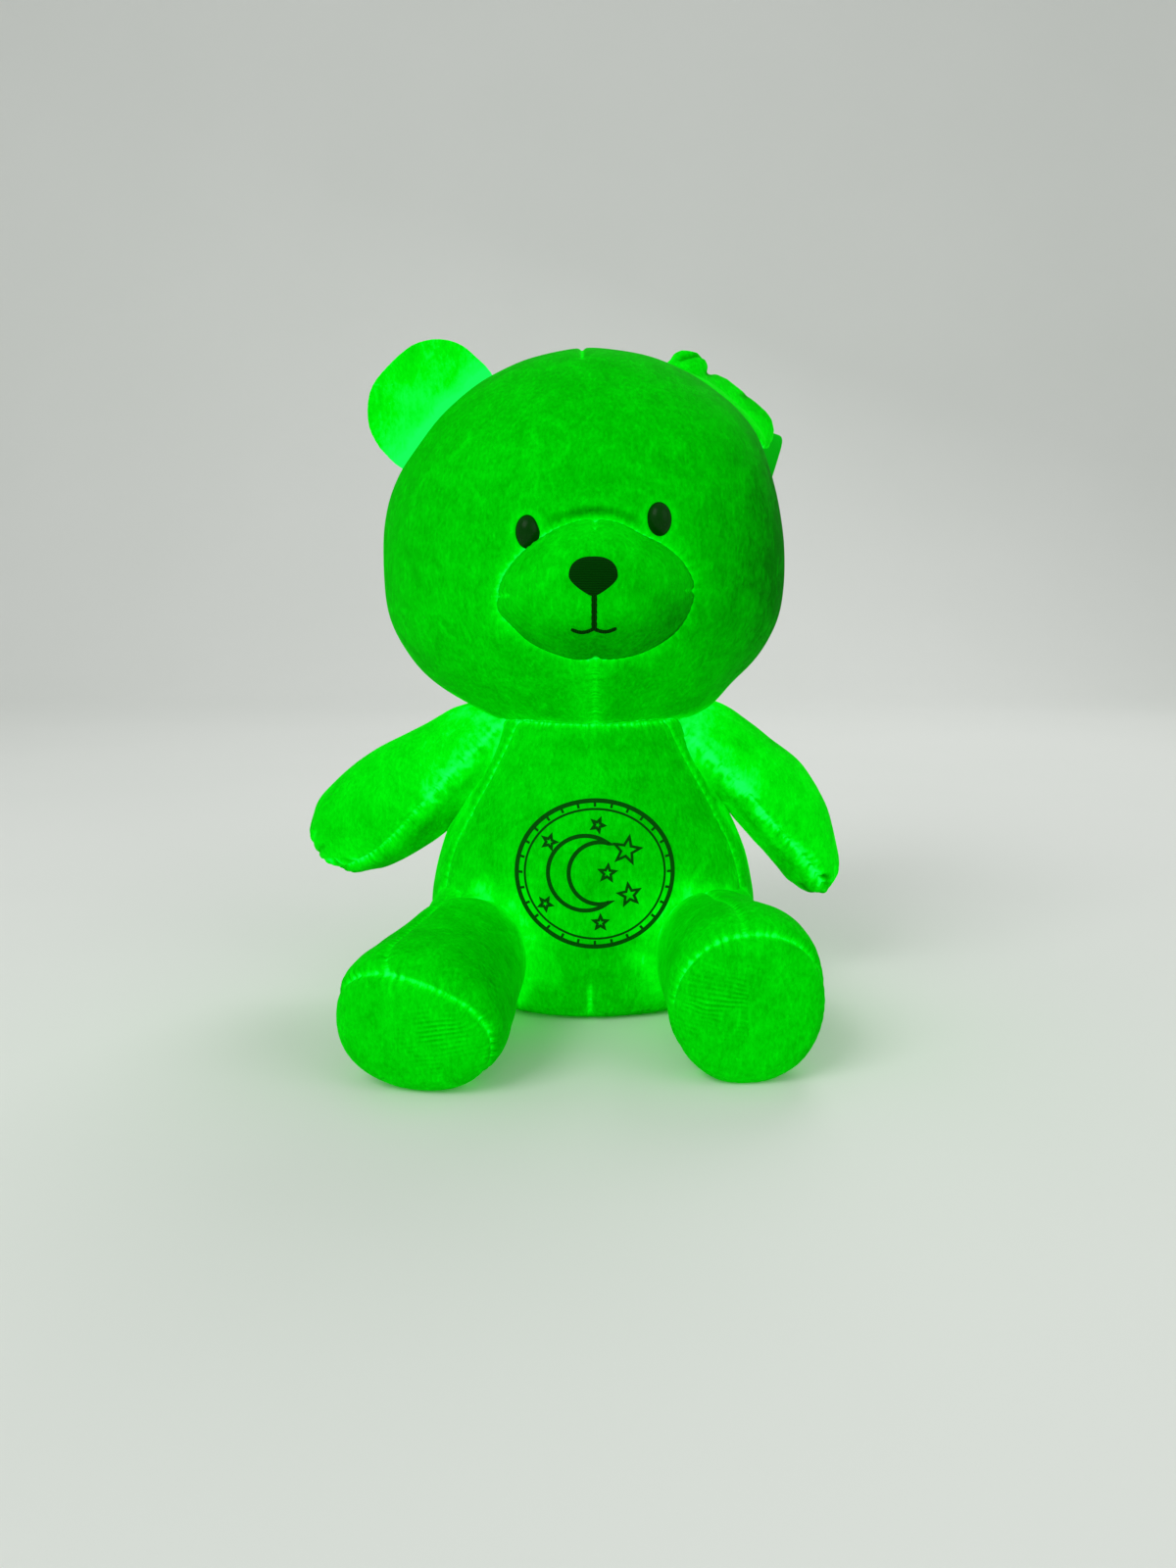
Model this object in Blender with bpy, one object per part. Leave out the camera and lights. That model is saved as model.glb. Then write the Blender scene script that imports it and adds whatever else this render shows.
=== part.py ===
"""A seated plush teddy bear, in metres, with Z up and the face towards -Y.

Each cloth panel is a thin shell round a separate filling. The head, arms, legs and ears
turn on their own axes, so each limb has a round root that sits in a pocket of the body.
Left and right are as seen from the front: left is -X. The origin is on the seat's flat
face, midway between the hips.
"""

import math

import bmesh
import bpy
from mathutils import Matrix, Vector

# Cloth and clearances
CLOTH = 0.0015
SEAM_GAP = 0.0003
FILL_GAP = 0.0008
RUN_GAP = 0.0006
OVERRUN = 0.02
FLOOR_FLAT = 0.0005

# Body
BODY_HALF_WIDTH = 0.064
BODY_HALF_DEPTH = 0.048
NECK_SEAM_HEIGHT = 0.110
NECK_PIVOT_DROP = 0.030
NECK_PIVOT_HEIGHT = NECK_SEAM_HEIGHT - NECK_PIVOT_DROP
NECK_BALL_RADIUS = 0.0453
BODY_SEAM_DEPTH = 0.020
BAG_HALF_WIDTH = 0.027
BAG_HALF_DEPTH = 0.020
BAG_HALF_HEIGHT = 0.011
BAG_BACK = 0.008

# Head
HEAD_HALF_WIDTH = 0.0755
HEAD_HALF_DEPTH = 0.060
HEAD_HALF_HEIGHT = 0.070
HEAD_RISE = 0.063
HEAD_CENTRE_HEIGHT = NECK_SEAM_HEIGHT + HEAD_RISE
HEAD_SIDE_SHIFT = 0.0012
HEAD_SEAM_BACK = 0.004
HEAD_TILT = math.radians(1)

# Muzzle, nose and mouth
MUZZLE_HALF_WIDTH = 0.035
MUZZLE_HALF_DEPTH = 0.031
MUZZLE_HALF_HEIGHT = 0.0245
MUZZLE_FORWARD = 0.046
MUZZLE_DROP = 0.015
MUZZLE_HEIGHT = HEAD_CENTRE_HEIGHT - MUZZLE_DROP
NOSE_HALF_WIDTH = 0.0078
NOSE_HALF_HEIGHT = 0.0062
NOSE_RISE = 0.0050
NOSE_HEIGHT = MUZZLE_HEIGHT + NOSE_RISE
NOSE_PROUD = 0.0014
MOUTH_HALF_WIDTH = 0.0074
MOUTH_DROP = 0.0120
MOUTH_HEIGHT = MUZZLE_HEIGHT - MOUTH_DROP
MOUTH_DIP = 0.0011
THREAD_WIDTH = 0.0014
THREAD_PROUD = 0.0007

# Eyes
EYE_HALF_WIDTH = 0.0043
EYE_HALF_HEIGHT = 0.0056
EYE_DOME = 0.0030
EYE_SPACING = 0.0444
EYE_LIFT = 0.0217
EYE_HEIGHT = MUZZLE_HEIGHT + EYE_LIFT
EYE_RISE = 0.0017
EYE_STEM_RADIUS = 0.0016
EYE_STEM_LENGTH = 0.0068
WASHER_RADIUS = 0.0052
WASHER_THICKNESS = 0.0012
WASHER_CLEARANCE = 0.0011

# Ears
EAR_HALF_WIDTH = 0.0255
EAR_HALF_HEIGHT = 0.022
EAR_REACH = 0.0285
EAR_PANEL = 0.0017
EAR_PIVOT_HEIGHT = 0.0014
EAR_FOLD = math.radians(82)
EAR_FORWARD = math.radians(10)

# Tag under the folded ear
TAG_WIDTH = 0.010
TAG_LENGTH = 0.021
TAG_THICKNESS = 0.0006
TAG_CORNER = 0.0025
TAG_BACK = 0.024
TAG_PROUD = 0.0103
TAG_RISE = 0.0351
TAG_HEIGHT = HEAD_CENTRE_HEIGHT + TAG_RISE
TAG_LEAN = math.radians(-17)

# Arms
SHOULDER_OUT = 0.040
SHOULDER_DROP = 0.0165
SHOULDER_HEIGHT = NECK_SEAM_HEIGHT - SHOULDER_DROP
SHOULDER_BACK = 0.001
ARM_ROOT_RADIUS = 0.0150
ARM_HALF_DEPTH = 0.0170
ARM_LENGTH = 0.080
ARM_OPENING = 0.010

# Legs
HIP_OUT = 0.042
HIP_FORWARD = 0.0195
HIP_HEIGHT = 0.0265
LEG_ROOT_RADIUS = 0.0240
SOLE_SEAM = 0.006

# Each limb as it is sewn on: how far it turns, bends or reaches
ARM_POSES = {
    "left": {"side": -1, "start": math.radians(-21), "bend": math.radians(-18),
             "lower": math.radians(10), "half_wide": 0.0212},
    "right": {"side": 1, "start": math.radians(-14), "bend": math.radians(-66),
              "lower": math.radians(4), "half_wide": 0.0171},
}
# The left ear is cupped towards the face, the folded one over the head
EAR_POSES = {
    "left": {"side": -1, "around": math.radians(46), "cup": 0.0050, "fold": 0},
    "right": {"side": 1, "around": math.radians(40), "cup": -0.0045, "fold": EAR_FOLD},
}
LEG_POSES = {
    "left": {"side": -1, "length": 0.0925, "sole_out": 0.0575, "half_wide": 0.0272,
             "half_high": 0.0238},
    "right": {"side": 1, "length": 0.0845, "sole_out": 0.0508, "half_wide": 0.0245,
              "half_high": 0.0285},
}
HIP_DROP = math.radians(35)
HIP_RAISE = math.radians(10)

# Height, width and depth shares of the body, from the seat to the neck seam
BODY_SHARES = (
    (0.00, 0.80, 0.86),
    (0.03, 0.87, 0.92),
    (0.11, 0.95, 0.98),
    (0.25, 1.00, 1.00),
    (0.41, 0.985, 0.99),
    (0.56, 0.915, 0.955),
    (0.70, 0.800, 0.900),
    (0.83, 0.680, 0.820),
    (0.93, 0.590, 0.755),
)
# Length, width and depth shares of an arm beyond its root, from the shoulder to the paw
ARM_SHARES = (
    (0.10, 0.60, 0.72),
    (0.28, 0.88, 0.95),
    (0.48, 1.00, 1.00),
    (0.68, 1.00, 0.98),
    (0.84, 0.86, 0.84),
    (0.95, 0.58, 0.56),
    (0.99, 0.28, 0.27),
)
# Length share of a leg beyond its root, share of the way to the foot's size, size share
LEG_SHARES = (
    (0.15, 0.00, 0.815),
    (0.30, 0.15, 0.930),
    (0.52, 0.50, 0.960),
    (0.72, 1.00, 0.985),
    (0.88, 1.00, 1.000),
    (0.95, 1.00, 0.970),
    (0.985, 1.00, 0.860),
    (0.998, 1.00, 0.560),
)

PARTS = bpy.data.collections.new("plush_bear")
CUTTERS = bpy.data.collections.new("cutters")
MATERIALS = {
    "plush": ((0.33, 0.80, 0.30, 1.0), 0.9),
    "plush_panel": ((0.40, 0.86, 0.36, 1.0), 0.9),
    "filling": ((0.86, 0.88, 0.84, 1.0), 0.95),
    "pellets": ((0.80, 0.80, 0.74, 1.0), 0.8),
    "black_plastic": ((0.012, 0.013, 0.012, 1.0), 0.15),
    "white_plastic": ((0.75, 0.76, 0.74, 1.0), 0.4),
    "black_thread": ((0.010, 0.012, 0.010, 1.0), 0.7),
    "tag_card": ((0.62, 0.90, 0.58, 1.0), 0.6),
}

BODY_SEGMENTS = 28
LIMB_SEGMENTS = 18
FILLING_SEGMENTS = 12
SMALL_SEGMENTS = 16
HEAD_RINGS = 14
DOME_RINGS = 4
ROOT_RINGS = 4
FAN_RINGS = 5
SMILE_POINTS = 6
EYE_RINGS = 3
NOSE_TAPER_SHARE = 0.14
LOWER_FULLNESS = 2.30
UPPER_FULLNESS = 2.10

X = Vector((1, 0, 0))
Y = Vector((0, 1, 0))
Z = Vector((0, 0, 1))


def material(name):
    """A plain finish in the colour and roughness of the real surface."""
    found = bpy.data.materials.get(name)
    if found:
        return found
    colour, roughness = MATERIALS[name]
    made = bpy.data.materials.new(name)
    made.use_nodes = True
    shader = made.node_tree.nodes["Principled BSDF"]
    shader.inputs["Base Color"].default_value = colour
    shader.inputs["Roughness"].default_value = roughness
    made.diffuse_color = colour
    return made


def add_object(name, mesh, finish=None):
    """Puts a mesh in the scene: a part where it has a finish, and otherwise a cutter."""
    item = bpy.data.objects.new(name, mesh)
    if finish:
        PARTS.objects.link(item)
        mesh.materials.append(material(finish))
        mesh.shade_smooth()
        mesh.set_sharp_from_angle(angle=math.radians(40))
    else:
        CUTTERS.objects.link(item)
        item.display_type = "WIRE"
        item.hide_render = True
    return item


def loft(rings, first, last, segments):
    """A closed ball of cloth whose rings lie on the given ellipses, from one end to the other."""
    mesh = bpy.data.meshes.new("loft")
    work = bmesh.new()
    bmesh.ops.create_uvsphere(work, u_segments=segments, v_segments=len(rings) + 1, radius=1)
    for vertex in work.verts:
        polar = math.acos(max(-1.0, min(1.0, -vertex.co.z)))
        index = round(polar / math.pi * (len(rings) + 1))
        if index == 0:
            vertex.co = first
        elif index == len(rings) + 1:
            vertex.co = last
        else:
            centre, side, up = rings[index - 1]
            around = math.atan2(vertex.co.y, vertex.co.x)
            vertex.co = centre + side * math.cos(around) + up * math.sin(around)
    if work.calc_volume(signed=True) < 0:
        bmesh.ops.reverse_faces(work, faces=work.faces)
    work.to_mesh(mesh)
    work.free()
    return mesh


def offset(mesh, distance):
    """A copy of a form with its surface moved out, or in where the distance is negative."""
    copy = mesh.copy()
    work = bmesh.new()
    work.from_mesh(copy)
    work.normal_update()
    moved = [vertex.co + vertex.normal * distance * vertex.calc_shell_factor() for vertex in work.verts]
    for vertex, place in zip(work.verts, moved):
        vertex.co = place
    work.to_mesh(copy)
    work.free()
    return copy


def ball(name, centre, radius, segments=BODY_SEGMENTS):
    """A round cutter whose flat facets all lie outside the stated radius."""
    mesh = bpy.data.meshes.new(name)
    work = bmesh.new()
    clear = radius / math.cos(math.pi / segments) ** 2
    bmesh.ops.create_uvsphere(work, u_segments=segments, v_segments=segments // 2, radius=clear)
    bmesh.ops.translate(work, verts=work.verts, vec=centre)
    work.to_mesh(mesh)
    work.free()
    return add_object(name, mesh)


def block(name, low, high):
    """A box cutter between two corners."""
    mesh = bpy.data.meshes.new(name)
    work = bmesh.new()
    bmesh.ops.create_cube(work, size=1)
    size = high - low
    bmesh.ops.scale(work, verts=work.verts, vec=size)
    bmesh.ops.translate(work, verts=work.verts, vec=(low + high) / 2)
    work.to_mesh(mesh)
    work.free()
    return add_object(name, mesh)


def rod(name, start, end, radius):
    """A round cutter between two points."""
    mesh = bpy.data.meshes.new(name)
    work = bmesh.new()
    along = end - start
    bmesh.ops.create_cone(
        work, cap_ends=True, segments=SMALL_SEGMENTS, radius1=radius, radius2=radius, depth=along.length
    )
    place = Matrix.Translation((start + end) / 2) @ along.to_track_quat("Z", "Y").to_matrix().to_4x4()
    bmesh.ops.transform(work, matrix=place, verts=work.verts)
    work.to_mesh(mesh)
    work.free()
    return add_object(name, mesh)


def prism(name, outline, half_depth, place):
    """A flat outline of cloth, card or thread, given a depth on both sides of its plane."""
    curve = bpy.data.curves.new(name, "CURVE")
    curve.dimensions = "2D"
    curve.fill_mode = "BOTH"
    curve.extrude = half_depth
    spline = curve.splines.new("POLY")
    spline.points.add(len(outline) - 1)
    for point, (across, upward) in zip(spline.points, outline):
        point.co = (across, upward, 0, 1)
    spline.use_cyclic_u = True
    holder = bpy.data.objects.new(name, curve)
    bpy.context.scene.collection.objects.link(holder)
    graph = bpy.context.evaluated_depsgraph_get()
    mesh = bpy.data.meshes.new_from_object(holder.evaluated_get(graph))
    bpy.data.objects.remove(holder)
    work = bmesh.new()
    work.from_mesh(mesh)
    bmesh.ops.remove_doubles(work, verts=work.verts, dist=SEAM_GAP / 10)
    bmesh.ops.transform(work, matrix=place, verts=work.verts)
    bmesh.ops.recalc_face_normals(work, faces=work.faces)
    work.to_mesh(mesh)
    work.free()
    return mesh


def boolean(item, operation, *others):
    """Cuts or trims a piece by others, and keeps the steps as modifiers."""
    for other in others:
        step = item.modifiers.new(other.name, "BOOLEAN")
        step.operation = operation
        step.solver = "EXACT"
        step.object = other


def bake(item):
    """Turns a piece and its modifiers into one plain mesh."""
    graph = bpy.context.evaluated_depsgraph_get()
    mesh = bpy.data.meshes.new_from_object(item.evaluated_get(graph))
    item.modifiers.clear()
    item.data = mesh
    return item


def pivot(name, place, turn=None, parent=None):
    """An empty on a joint's axis that carries the pieces that move with the joint."""
    empty = bpy.data.objects.new(name, None)
    bpy.context.scene.collection.objects.link(empty)
    empty.matrix_world = Matrix.Translation(place) @ (turn or Matrix.Identity(4))
    if parent:
        empty.parent = parent
    return empty


def hang(item, empty, place):
    """Parents a piece, drawn where it would lie with the joint straight, to its joint's empty."""
    item.parent = empty
    item.matrix_parent_inverse = Matrix.Translation(-place)


# Forms


def body_form(segments):
    """The pear-shaped body, with a round dome under the head."""
    rings = []
    for height, width, depth in BODY_SHARES:
        centre = Z * NECK_SEAM_HEIGHT * height
        rings.append((centre, X * BODY_HALF_WIDTH * width, Y * BODY_HALF_DEPTH * depth))
    rise = math.asin((NECK_SEAM_HEIGHT - NECK_PIVOT_HEIGHT) / NECK_BALL_RADIUS)
    for step in range(DOME_RINGS):
        angle = rise + (math.pi / 2 - rise) * step / DOME_RINGS
        centre = Z * (NECK_PIVOT_HEIGHT + NECK_BALL_RADIUS * math.sin(angle))
        reach = NECK_BALL_RADIUS * math.cos(angle)
        rings.append((centre, X * reach, Y * reach))
    top = Z * (NECK_PIVOT_HEIGHT + NECK_BALL_RADIUS)
    return loft(rings, Vector(), top, segments)


def head_fullness(share):
    """How wide the head is at a height share from -1 to 1, as a share of its widest."""
    power = UPPER_FULLNESS if share > 0 else LOWER_FULLNESS
    return (1 - abs(share) ** power) ** (1 / power)


def head_form(segments):
    """The head before the neck and muzzle are cut: a ball, fuller in the cheeks."""
    middle = Vector((HEAD_SIDE_SHIFT, 0, HEAD_CENTRE_HEIGHT))
    rings = []
    for step in range(1, HEAD_RINGS + 1):
        share = -math.cos(math.pi * step / (HEAD_RINGS + 1))
        centre = middle + Z * HEAD_HALF_HEIGHT * share
        full = head_fullness(share)
        rings.append((centre, X * HEAD_HALF_WIDTH * full, Y * HEAD_HALF_DEPTH * full))
    return loft(rings, middle - Z * HEAD_HALF_HEIGHT, middle + Z * HEAD_HALF_HEIGHT, segments)


def face_point(across, height):
    """A point on the front of the head, with the direction that the surface faces there."""
    share = (height - HEAD_CENTRE_HEIGHT) / HEAD_HALF_HEIGHT
    full = head_fullness(share)
    reach = math.sqrt(full ** 2 - (across / HEAD_HALF_WIDTH) ** 2)
    point = Vector((HEAD_SIDE_SHIFT + across, -HEAD_HALF_DEPTH * reach, height))
    power = UPPER_FULLNESS if share > 0 else LOWER_FULLNESS
    slope = (1 - abs(share) ** power) ** (2 / power - 1) * abs(share) ** (power - 1)
    slope = math.copysign(slope, share) / HEAD_HALF_HEIGHT
    facing = Vector((across / HEAD_HALF_WIDTH ** 2, -reach / HEAD_HALF_DEPTH, slope))
    return point, facing.normalized()


def muzzle_form(segments, rings_wanted):
    """The muzzle, an egg that sits half inside the face."""
    middle = Vector((HEAD_SIDE_SHIFT, -MUZZLE_FORWARD, MUZZLE_HEIGHT))
    rings = []
    for step in range(1, rings_wanted + 1):
        angle = math.pi * step / (rings_wanted + 1)
        centre = middle - Y * MUZZLE_HALF_DEPTH * math.cos(angle)
        reach = math.sin(angle)
        rings.append((centre, Z * MUZZLE_HALF_HEIGHT * reach, X * MUZZLE_HALF_WIDTH * reach))
    return loft(rings, middle - Y * MUZZLE_HALF_DEPTH, middle + Y * MUZZLE_HALF_DEPTH, segments)


def root_rings(centre, along, side, up, radius):
    """The round root of a limb, from near its inner end to its widest ring."""
    rings = []
    for step in range(1, ROOT_RINGS + 1):
        angle = math.pi / 2 * step / ROOT_RINGS
        reach = radius * math.sin(angle)
        rings.append((centre - along * radius * math.cos(angle), side * reach, up * reach))
    return rings


def arm_form(pose, segments):
    """An arm along its curved middle line, round at the root and flatter at the paw."""
    shoulder = Vector((pose["side"] * SHOULDER_OUT, SHOULDER_BACK, SHOULDER_HEIGHT))

    def heading(share):
        angle = pose["start"] + pose["bend"] * share
        return Vector((pose["side"] * math.cos(angle), 0, math.sin(angle)))

    along = heading(0)
    rings = root_rings(shoulder, along, along.cross(Y), Y, ARM_ROOT_RADIUS)
    centre = shoulder
    before = 0
    for share, width, depth in ARM_SHARES:
        centre = centre + heading((before + share) / 2) * ARM_LENGTH * (share - before)
        side = heading(share).cross(Y)
        rings.append((centre, side * pose["half_wide"] * width, Y * ARM_HALF_DEPTH * depth))
        before = share
    tip = centre + heading(1) * ARM_LENGTH * (1 - before)
    return loft(rings, shoulder - along * ARM_ROOT_RADIUS, tip, segments)


def leg_line(pose):
    """The hip's centre and the sole's centre of a leg."""
    hip = Vector((pose["side"] * HIP_OUT, -HIP_FORWARD, HIP_HEIGHT))
    sole_height = pose["half_high"] - FLOOR_FLAT
    out = pose["side"] * pose["sole_out"] - hip.x
    drop = sole_height - hip.z
    forward = math.sqrt(pose["length"] ** 2 - out ** 2 - drop ** 2)
    return hip, hip + Vector((out, -forward, drop))


def leg_form(pose, segments):
    """A leg from its round root to its oval foot."""
    hip, sole = leg_line(pose)
    along = (sole - hip).normalized()
    side = Z.cross(along).normalized()
    up = along.cross(side)
    rings = root_rings(hip, along, side, up, LEG_ROOT_RADIUS)
    for share, towards_foot, size in LEG_SHARES:
        wide = LEG_ROOT_RADIUS + (pose["half_wide"] - LEG_ROOT_RADIUS) * towards_foot
        high = LEG_ROOT_RADIUS + (pose["half_high"] - LEG_ROOT_RADIUS) * towards_foot
        rings.append((hip + (sole - hip) * share, side * wide * size, up * high * size))
    return loft(rings, hip - along * LEG_ROOT_RADIUS, sole, segments)


def hip_fan(name, pose):
    """The room in front of a hip that the leg sweeps between its limits."""
    hip, sole = leg_line(pose)
    forward = hip.y - sole.y
    level = math.atan2(sole.z - hip.z, forward)
    out_slope = (sole.x - hip.x) / forward
    radius = LEG_ROOT_RADIUS + RUN_GAP
    rise = math.tan(level + HIP_RAISE)
    fall = math.tan(level - HIP_DROP)
    rings = []
    for step in range(FAN_RINGS + 1):
        reach = BODY_HALF_DEPTH * step / FAN_RINGS
        top = reach * rise + radius / math.cos(level + HIP_RAISE)
        bottom = reach * fall - radius / math.cos(level - HIP_DROP)
        centre = hip + Vector((out_slope * reach, -reach, (top + bottom) / 2))
        rings.append((centre, X * radius, Z * (top - bottom) / 2))
    mesh = loft(rings, rings[0][0], rings[-1][0], LIMB_SEGMENTS)
    # Straight sides from a round top down to a flat bottom
    for vertex in mesh.vertices:
        reach = hip.y - vertex.co.y
        centre_line = hip.x + out_slope * reach
        across = abs(vertex.co.x - centre_line)
        if across < radius / LIMB_SEGMENTS:
            continue
        round_share = math.sqrt(max(0.0, 1 - (across / radius) ** 2))
        middle_top = hip.z + reach * rise
        middle_bottom = hip.z + reach * fall
        top_half = radius / math.cos(level + HIP_RAISE) * round_share
        bottom_half = radius / math.cos(level - HIP_DROP)
        upper = vertex.co.z > (middle_top + middle_bottom) / 2
        vertex.co.z = middle_top + top_half if upper else middle_bottom - bottom_half
    return add_object(name, mesh)


# Pieces


def make_body(cuts):
    """The body's panels, base, filling and bag of pellets."""
    outer = body_form(BODY_SEGMENTS)
    inner = add_object("body_hollow", offset(outer, -CLOTH))
    high = Vector((1, 1, 1)) * (NECK_PIVOT_HEIGHT + NECK_BALL_RADIUS + OVERRUN)
    low = -high
    seam = -BODY_SEAM_DEPTH
    behind = block("behind_body_seam", Vector((low.x, seam - SEAM_GAP / 2, low.z)), high)
    ahead = block("ahead_of_body_seam", low, Vector((high.x, seam + SEAM_GAP / 2, high.z)))
    over = block("over_base", Vector((low.x, low.y, CLOTH)), high)
    under = block("under_walls", low, Vector((high.x, high.y, CLOTH + SEAM_GAP)))

    front = add_object("body_front_panel", outer.copy(), "plush_panel")
    boolean(front, "DIFFERENCE", inner, behind, under, *cuts)
    back = add_object("body_back_panel", outer.copy(), "plush")
    boolean(back, "DIFFERENCE", inner, ahead, under, *cuts)
    base = add_object("base_panel", outer.copy(), "plush")
    boolean(base, "DIFFERENCE", over, *cuts)

    filled = offset(body_form(FILLING_SEGMENTS), -CLOTH - FILL_GAP)
    bag_form = bag(0)
    pocket = add_object("bag_pocket", bag(SEAM_GAP))
    filling = add_object("body_filling", filled, "filling")
    boolean(filling, "DIFFERENCE", pocket, *cuts)
    add_object("pellet_bag", bag_form, "pellets")
    return outer


def bag(room):
    """The bag of pellets that weights the seat, or with some room its pocket."""
    middle = Vector((0, BAG_BACK, CLOTH + FILL_GAP + BAG_HALF_HEIGHT))
    rings = []
    for step in range(1, ROOT_RINGS * 2):
        angle = math.pi * step / (ROOT_RINGS * 2)
        centre = middle - Z * (BAG_HALF_HEIGHT + room) * math.cos(angle)
        reach = math.sin(angle)
        rings.append((centre, X * (BAG_HALF_WIDTH + room) * reach, Y * (BAG_HALF_DEPTH + room) * reach))
    bottom = middle - Z * (BAG_HALF_HEIGHT + room)
    return loft(rings, bottom, middle + Z * (BAG_HALF_HEIGHT + room), SMALL_SEGMENTS)


def make_head(neck_cut):
    """The head's panels, muzzle and filling, drawn upright."""
    outer = head_form(BODY_SEGMENTS)
    inner = add_object("head_hollow", offset(outer, -CLOTH))
    muzzle = muzzle_form(BODY_SEGMENTS, HEAD_RINGS - DOME_RINGS)
    muzzle_inner = add_object("muzzle_hollow", offset(muzzle, -CLOTH))
    muzzle_clear = add_object("muzzle_clear", offset(muzzle, SEAM_GAP))
    reach = HEAD_CENTRE_HEIGHT + HEAD_HALF_HEIGHT + OVERRUN
    seam = HEAD_SEAM_BACK
    behind = block("behind_head_seam", Vector((-reach, seam - SEAM_GAP / 2, 0)), Vector((reach,) * 3))
    front_corner = Vector((reach, seam + SEAM_GAP / 2, reach))
    ahead = block("ahead_of_head_seam", Vector((-reach, -reach, 0)), front_corner)

    face = add_object("face_panel", outer.copy(), "plush")
    boolean(face, "DIFFERENCE", inner, behind, neck_cut, muzzle_clear)
    back = add_object("head_back_panel", outer.copy(), "plush")
    boolean(back, "DIFFERENCE", inner, ahead, neck_cut)
    snout = add_object("muzzle_panel", muzzle.copy(), "plush_panel")
    boolean(snout, "DIFFERENCE", muzzle_inner, inner)

    filled = offset(head_form(FILLING_SEGMENTS), -CLOTH - FILL_GAP)
    filling = add_object("head_filling", filled, "filling")
    snout_fill = muzzle_form(FILLING_SEGMENTS, DOME_RINGS + ROOT_RINGS)
    snout_room = add_object("muzzle_room", offset(snout_fill, -CLOTH - FILL_GAP))
    boolean(filling, "UNION", snout_room)
    boolean(filling, "DIFFERENCE", neck_cut)
    made = [face, back, snout, filling]
    for side in (-1, 1):
        made += make_eye(side, face, filling, muzzle_clear)
    made += make_stitches(muzzle)
    return made, outer


def make_eye(side, face, filling, muzzle_clear):
    """A moulded eye on its stem, and the washer that locks it inside the face."""
    name = "left" if side < 0 else "right"
    point, facing = face_point(side * EYE_SPACING / 2, EYE_HEIGHT + side * EYE_RISE)
    across = Z.cross(facing).normalized() * -1
    upward = facing.cross(across)
    base = point + facing * SEAM_GAP
    stem = (across * EYE_STEM_RADIUS, upward * EYE_STEM_RADIUS)
    wide, high = across * EYE_HALF_WIDTH, upward * EYE_HALF_HEIGHT
    stem_end = point - facing * EYE_STEM_LENGTH
    rings = [(stem_end, *stem), (base, *stem), (base, wide, high)]
    for step in range(1, EYE_RINGS):
        angle = math.pi / 2 * step / EYE_RINGS
        lift = facing * EYE_DOME * math.sin(angle)
        rings.append((base + lift, wide * math.cos(angle), high * math.cos(angle)))
    eye = add_object(name + "_eye", loft(rings, stem_end, base + facing * EYE_DOME, SMALL_SEGMENTS),
                     "black_plastic")
    boolean(eye, "DIFFERENCE", muzzle_clear)

    outside = point + facing * EYE_DOME
    beyond = stem_end - facing * SEAM_GAP
    hole = rod(name + "_eye_hole", outside, beyond - facing * SEAM_GAP, EYE_STEM_RADIUS + SEAM_GAP)
    boolean(face, "DIFFERENCE", hole)
    washer_top = point - facing * (CLOTH + WASHER_CLEARANCE)
    washer_low = washer_top - facing * WASHER_THICKNESS
    disc = rod(name + "_eye_washer", washer_top, washer_low, WASHER_RADIUS)
    washer = add_object(name + "_eye_washer", disc.data.copy(), "white_plastic")
    bpy.data.objects.remove(disc)
    washer.name = name + "_eye_washer"
    boolean(washer, "DIFFERENCE", hole)
    pocket = rod(name + "_eye_pocket", outside, washer_low - facing * SEAM_GAP, WASHER_RADIUS + SEAM_GAP)
    boolean(filling, "DIFFERENCE", pocket, hole)
    return [eye, washer]


def make_stitches(muzzle):
    """The nose and mouth, sewn in thread that lies on the muzzle."""
    clear = add_object("under_thread", offset(muzzle, SEAM_GAP))
    depth = MUZZLE_HALF_DEPTH
    place = Matrix.Translation(Vector((HEAD_SIDE_SHIFT, -MUZZLE_FORWARD - depth, 0)))
    place = place @ Matrix.Rotation(math.pi / 2, 4, "X")

    nose_outline = []
    for step in range(SMALL_SEGMENTS):
        angle = 2 * math.pi * step / SMALL_SEGMENTS
        wide_share = 1 + math.sin(angle) * NOSE_TAPER_SHARE
        across = NOSE_HALF_WIDTH * math.cos(angle) * wide_share
        nose_outline.append((across, NOSE_HEIGHT + NOSE_HALF_HEIGHT * math.sin(angle)))
    nose = add_object("nose", prism("nose", nose_outline, depth, place), "black_thread")
    nose_top = add_object("nose_top", offset(muzzle, SEAM_GAP + NOSE_PROUD))
    boolean(nose, "INTERSECT", nose_top)
    boolean(nose, "DIFFERENCE", clear)

    half = THREAD_WIDTH / 2
    smile = []
    for step in range(-SMILE_POINTS, SMILE_POINTS + 1):
        share = step / SMILE_POINTS
        dip = MOUTH_DIP * math.sin(math.pi * abs(share))
        smile.append((MOUTH_HALF_WIDTH * share, MOUTH_HEIGHT - dip))
    under = [(across, height - half) for across, height in smile]
    over_right = [(across, height + half) for across, height in reversed(smile) if across > half]
    over_left = [(across, height + half) for across, height in reversed(smile) if across < -half]
    lip_top = NOSE_HEIGHT - NOSE_HALF_HEIGHT - SEAM_GAP
    lip = [(half, MOUTH_HEIGHT + half), (half, lip_top), (-half, lip_top), (-half, MOUTH_HEIGHT + half)]
    mouth_outline = under + over_right + lip + over_left
    mouth = add_object("mouth", prism("mouth", mouth_outline, depth, place), "black_thread")
    mouth_top = add_object("mouth_top", offset(muzzle, SEAM_GAP + THREAD_PROUD))
    boolean(mouth, "INTERSECT", mouth_top)
    boolean(mouth, "DIFFERENCE", clear)
    return [nose, mouth]


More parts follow.
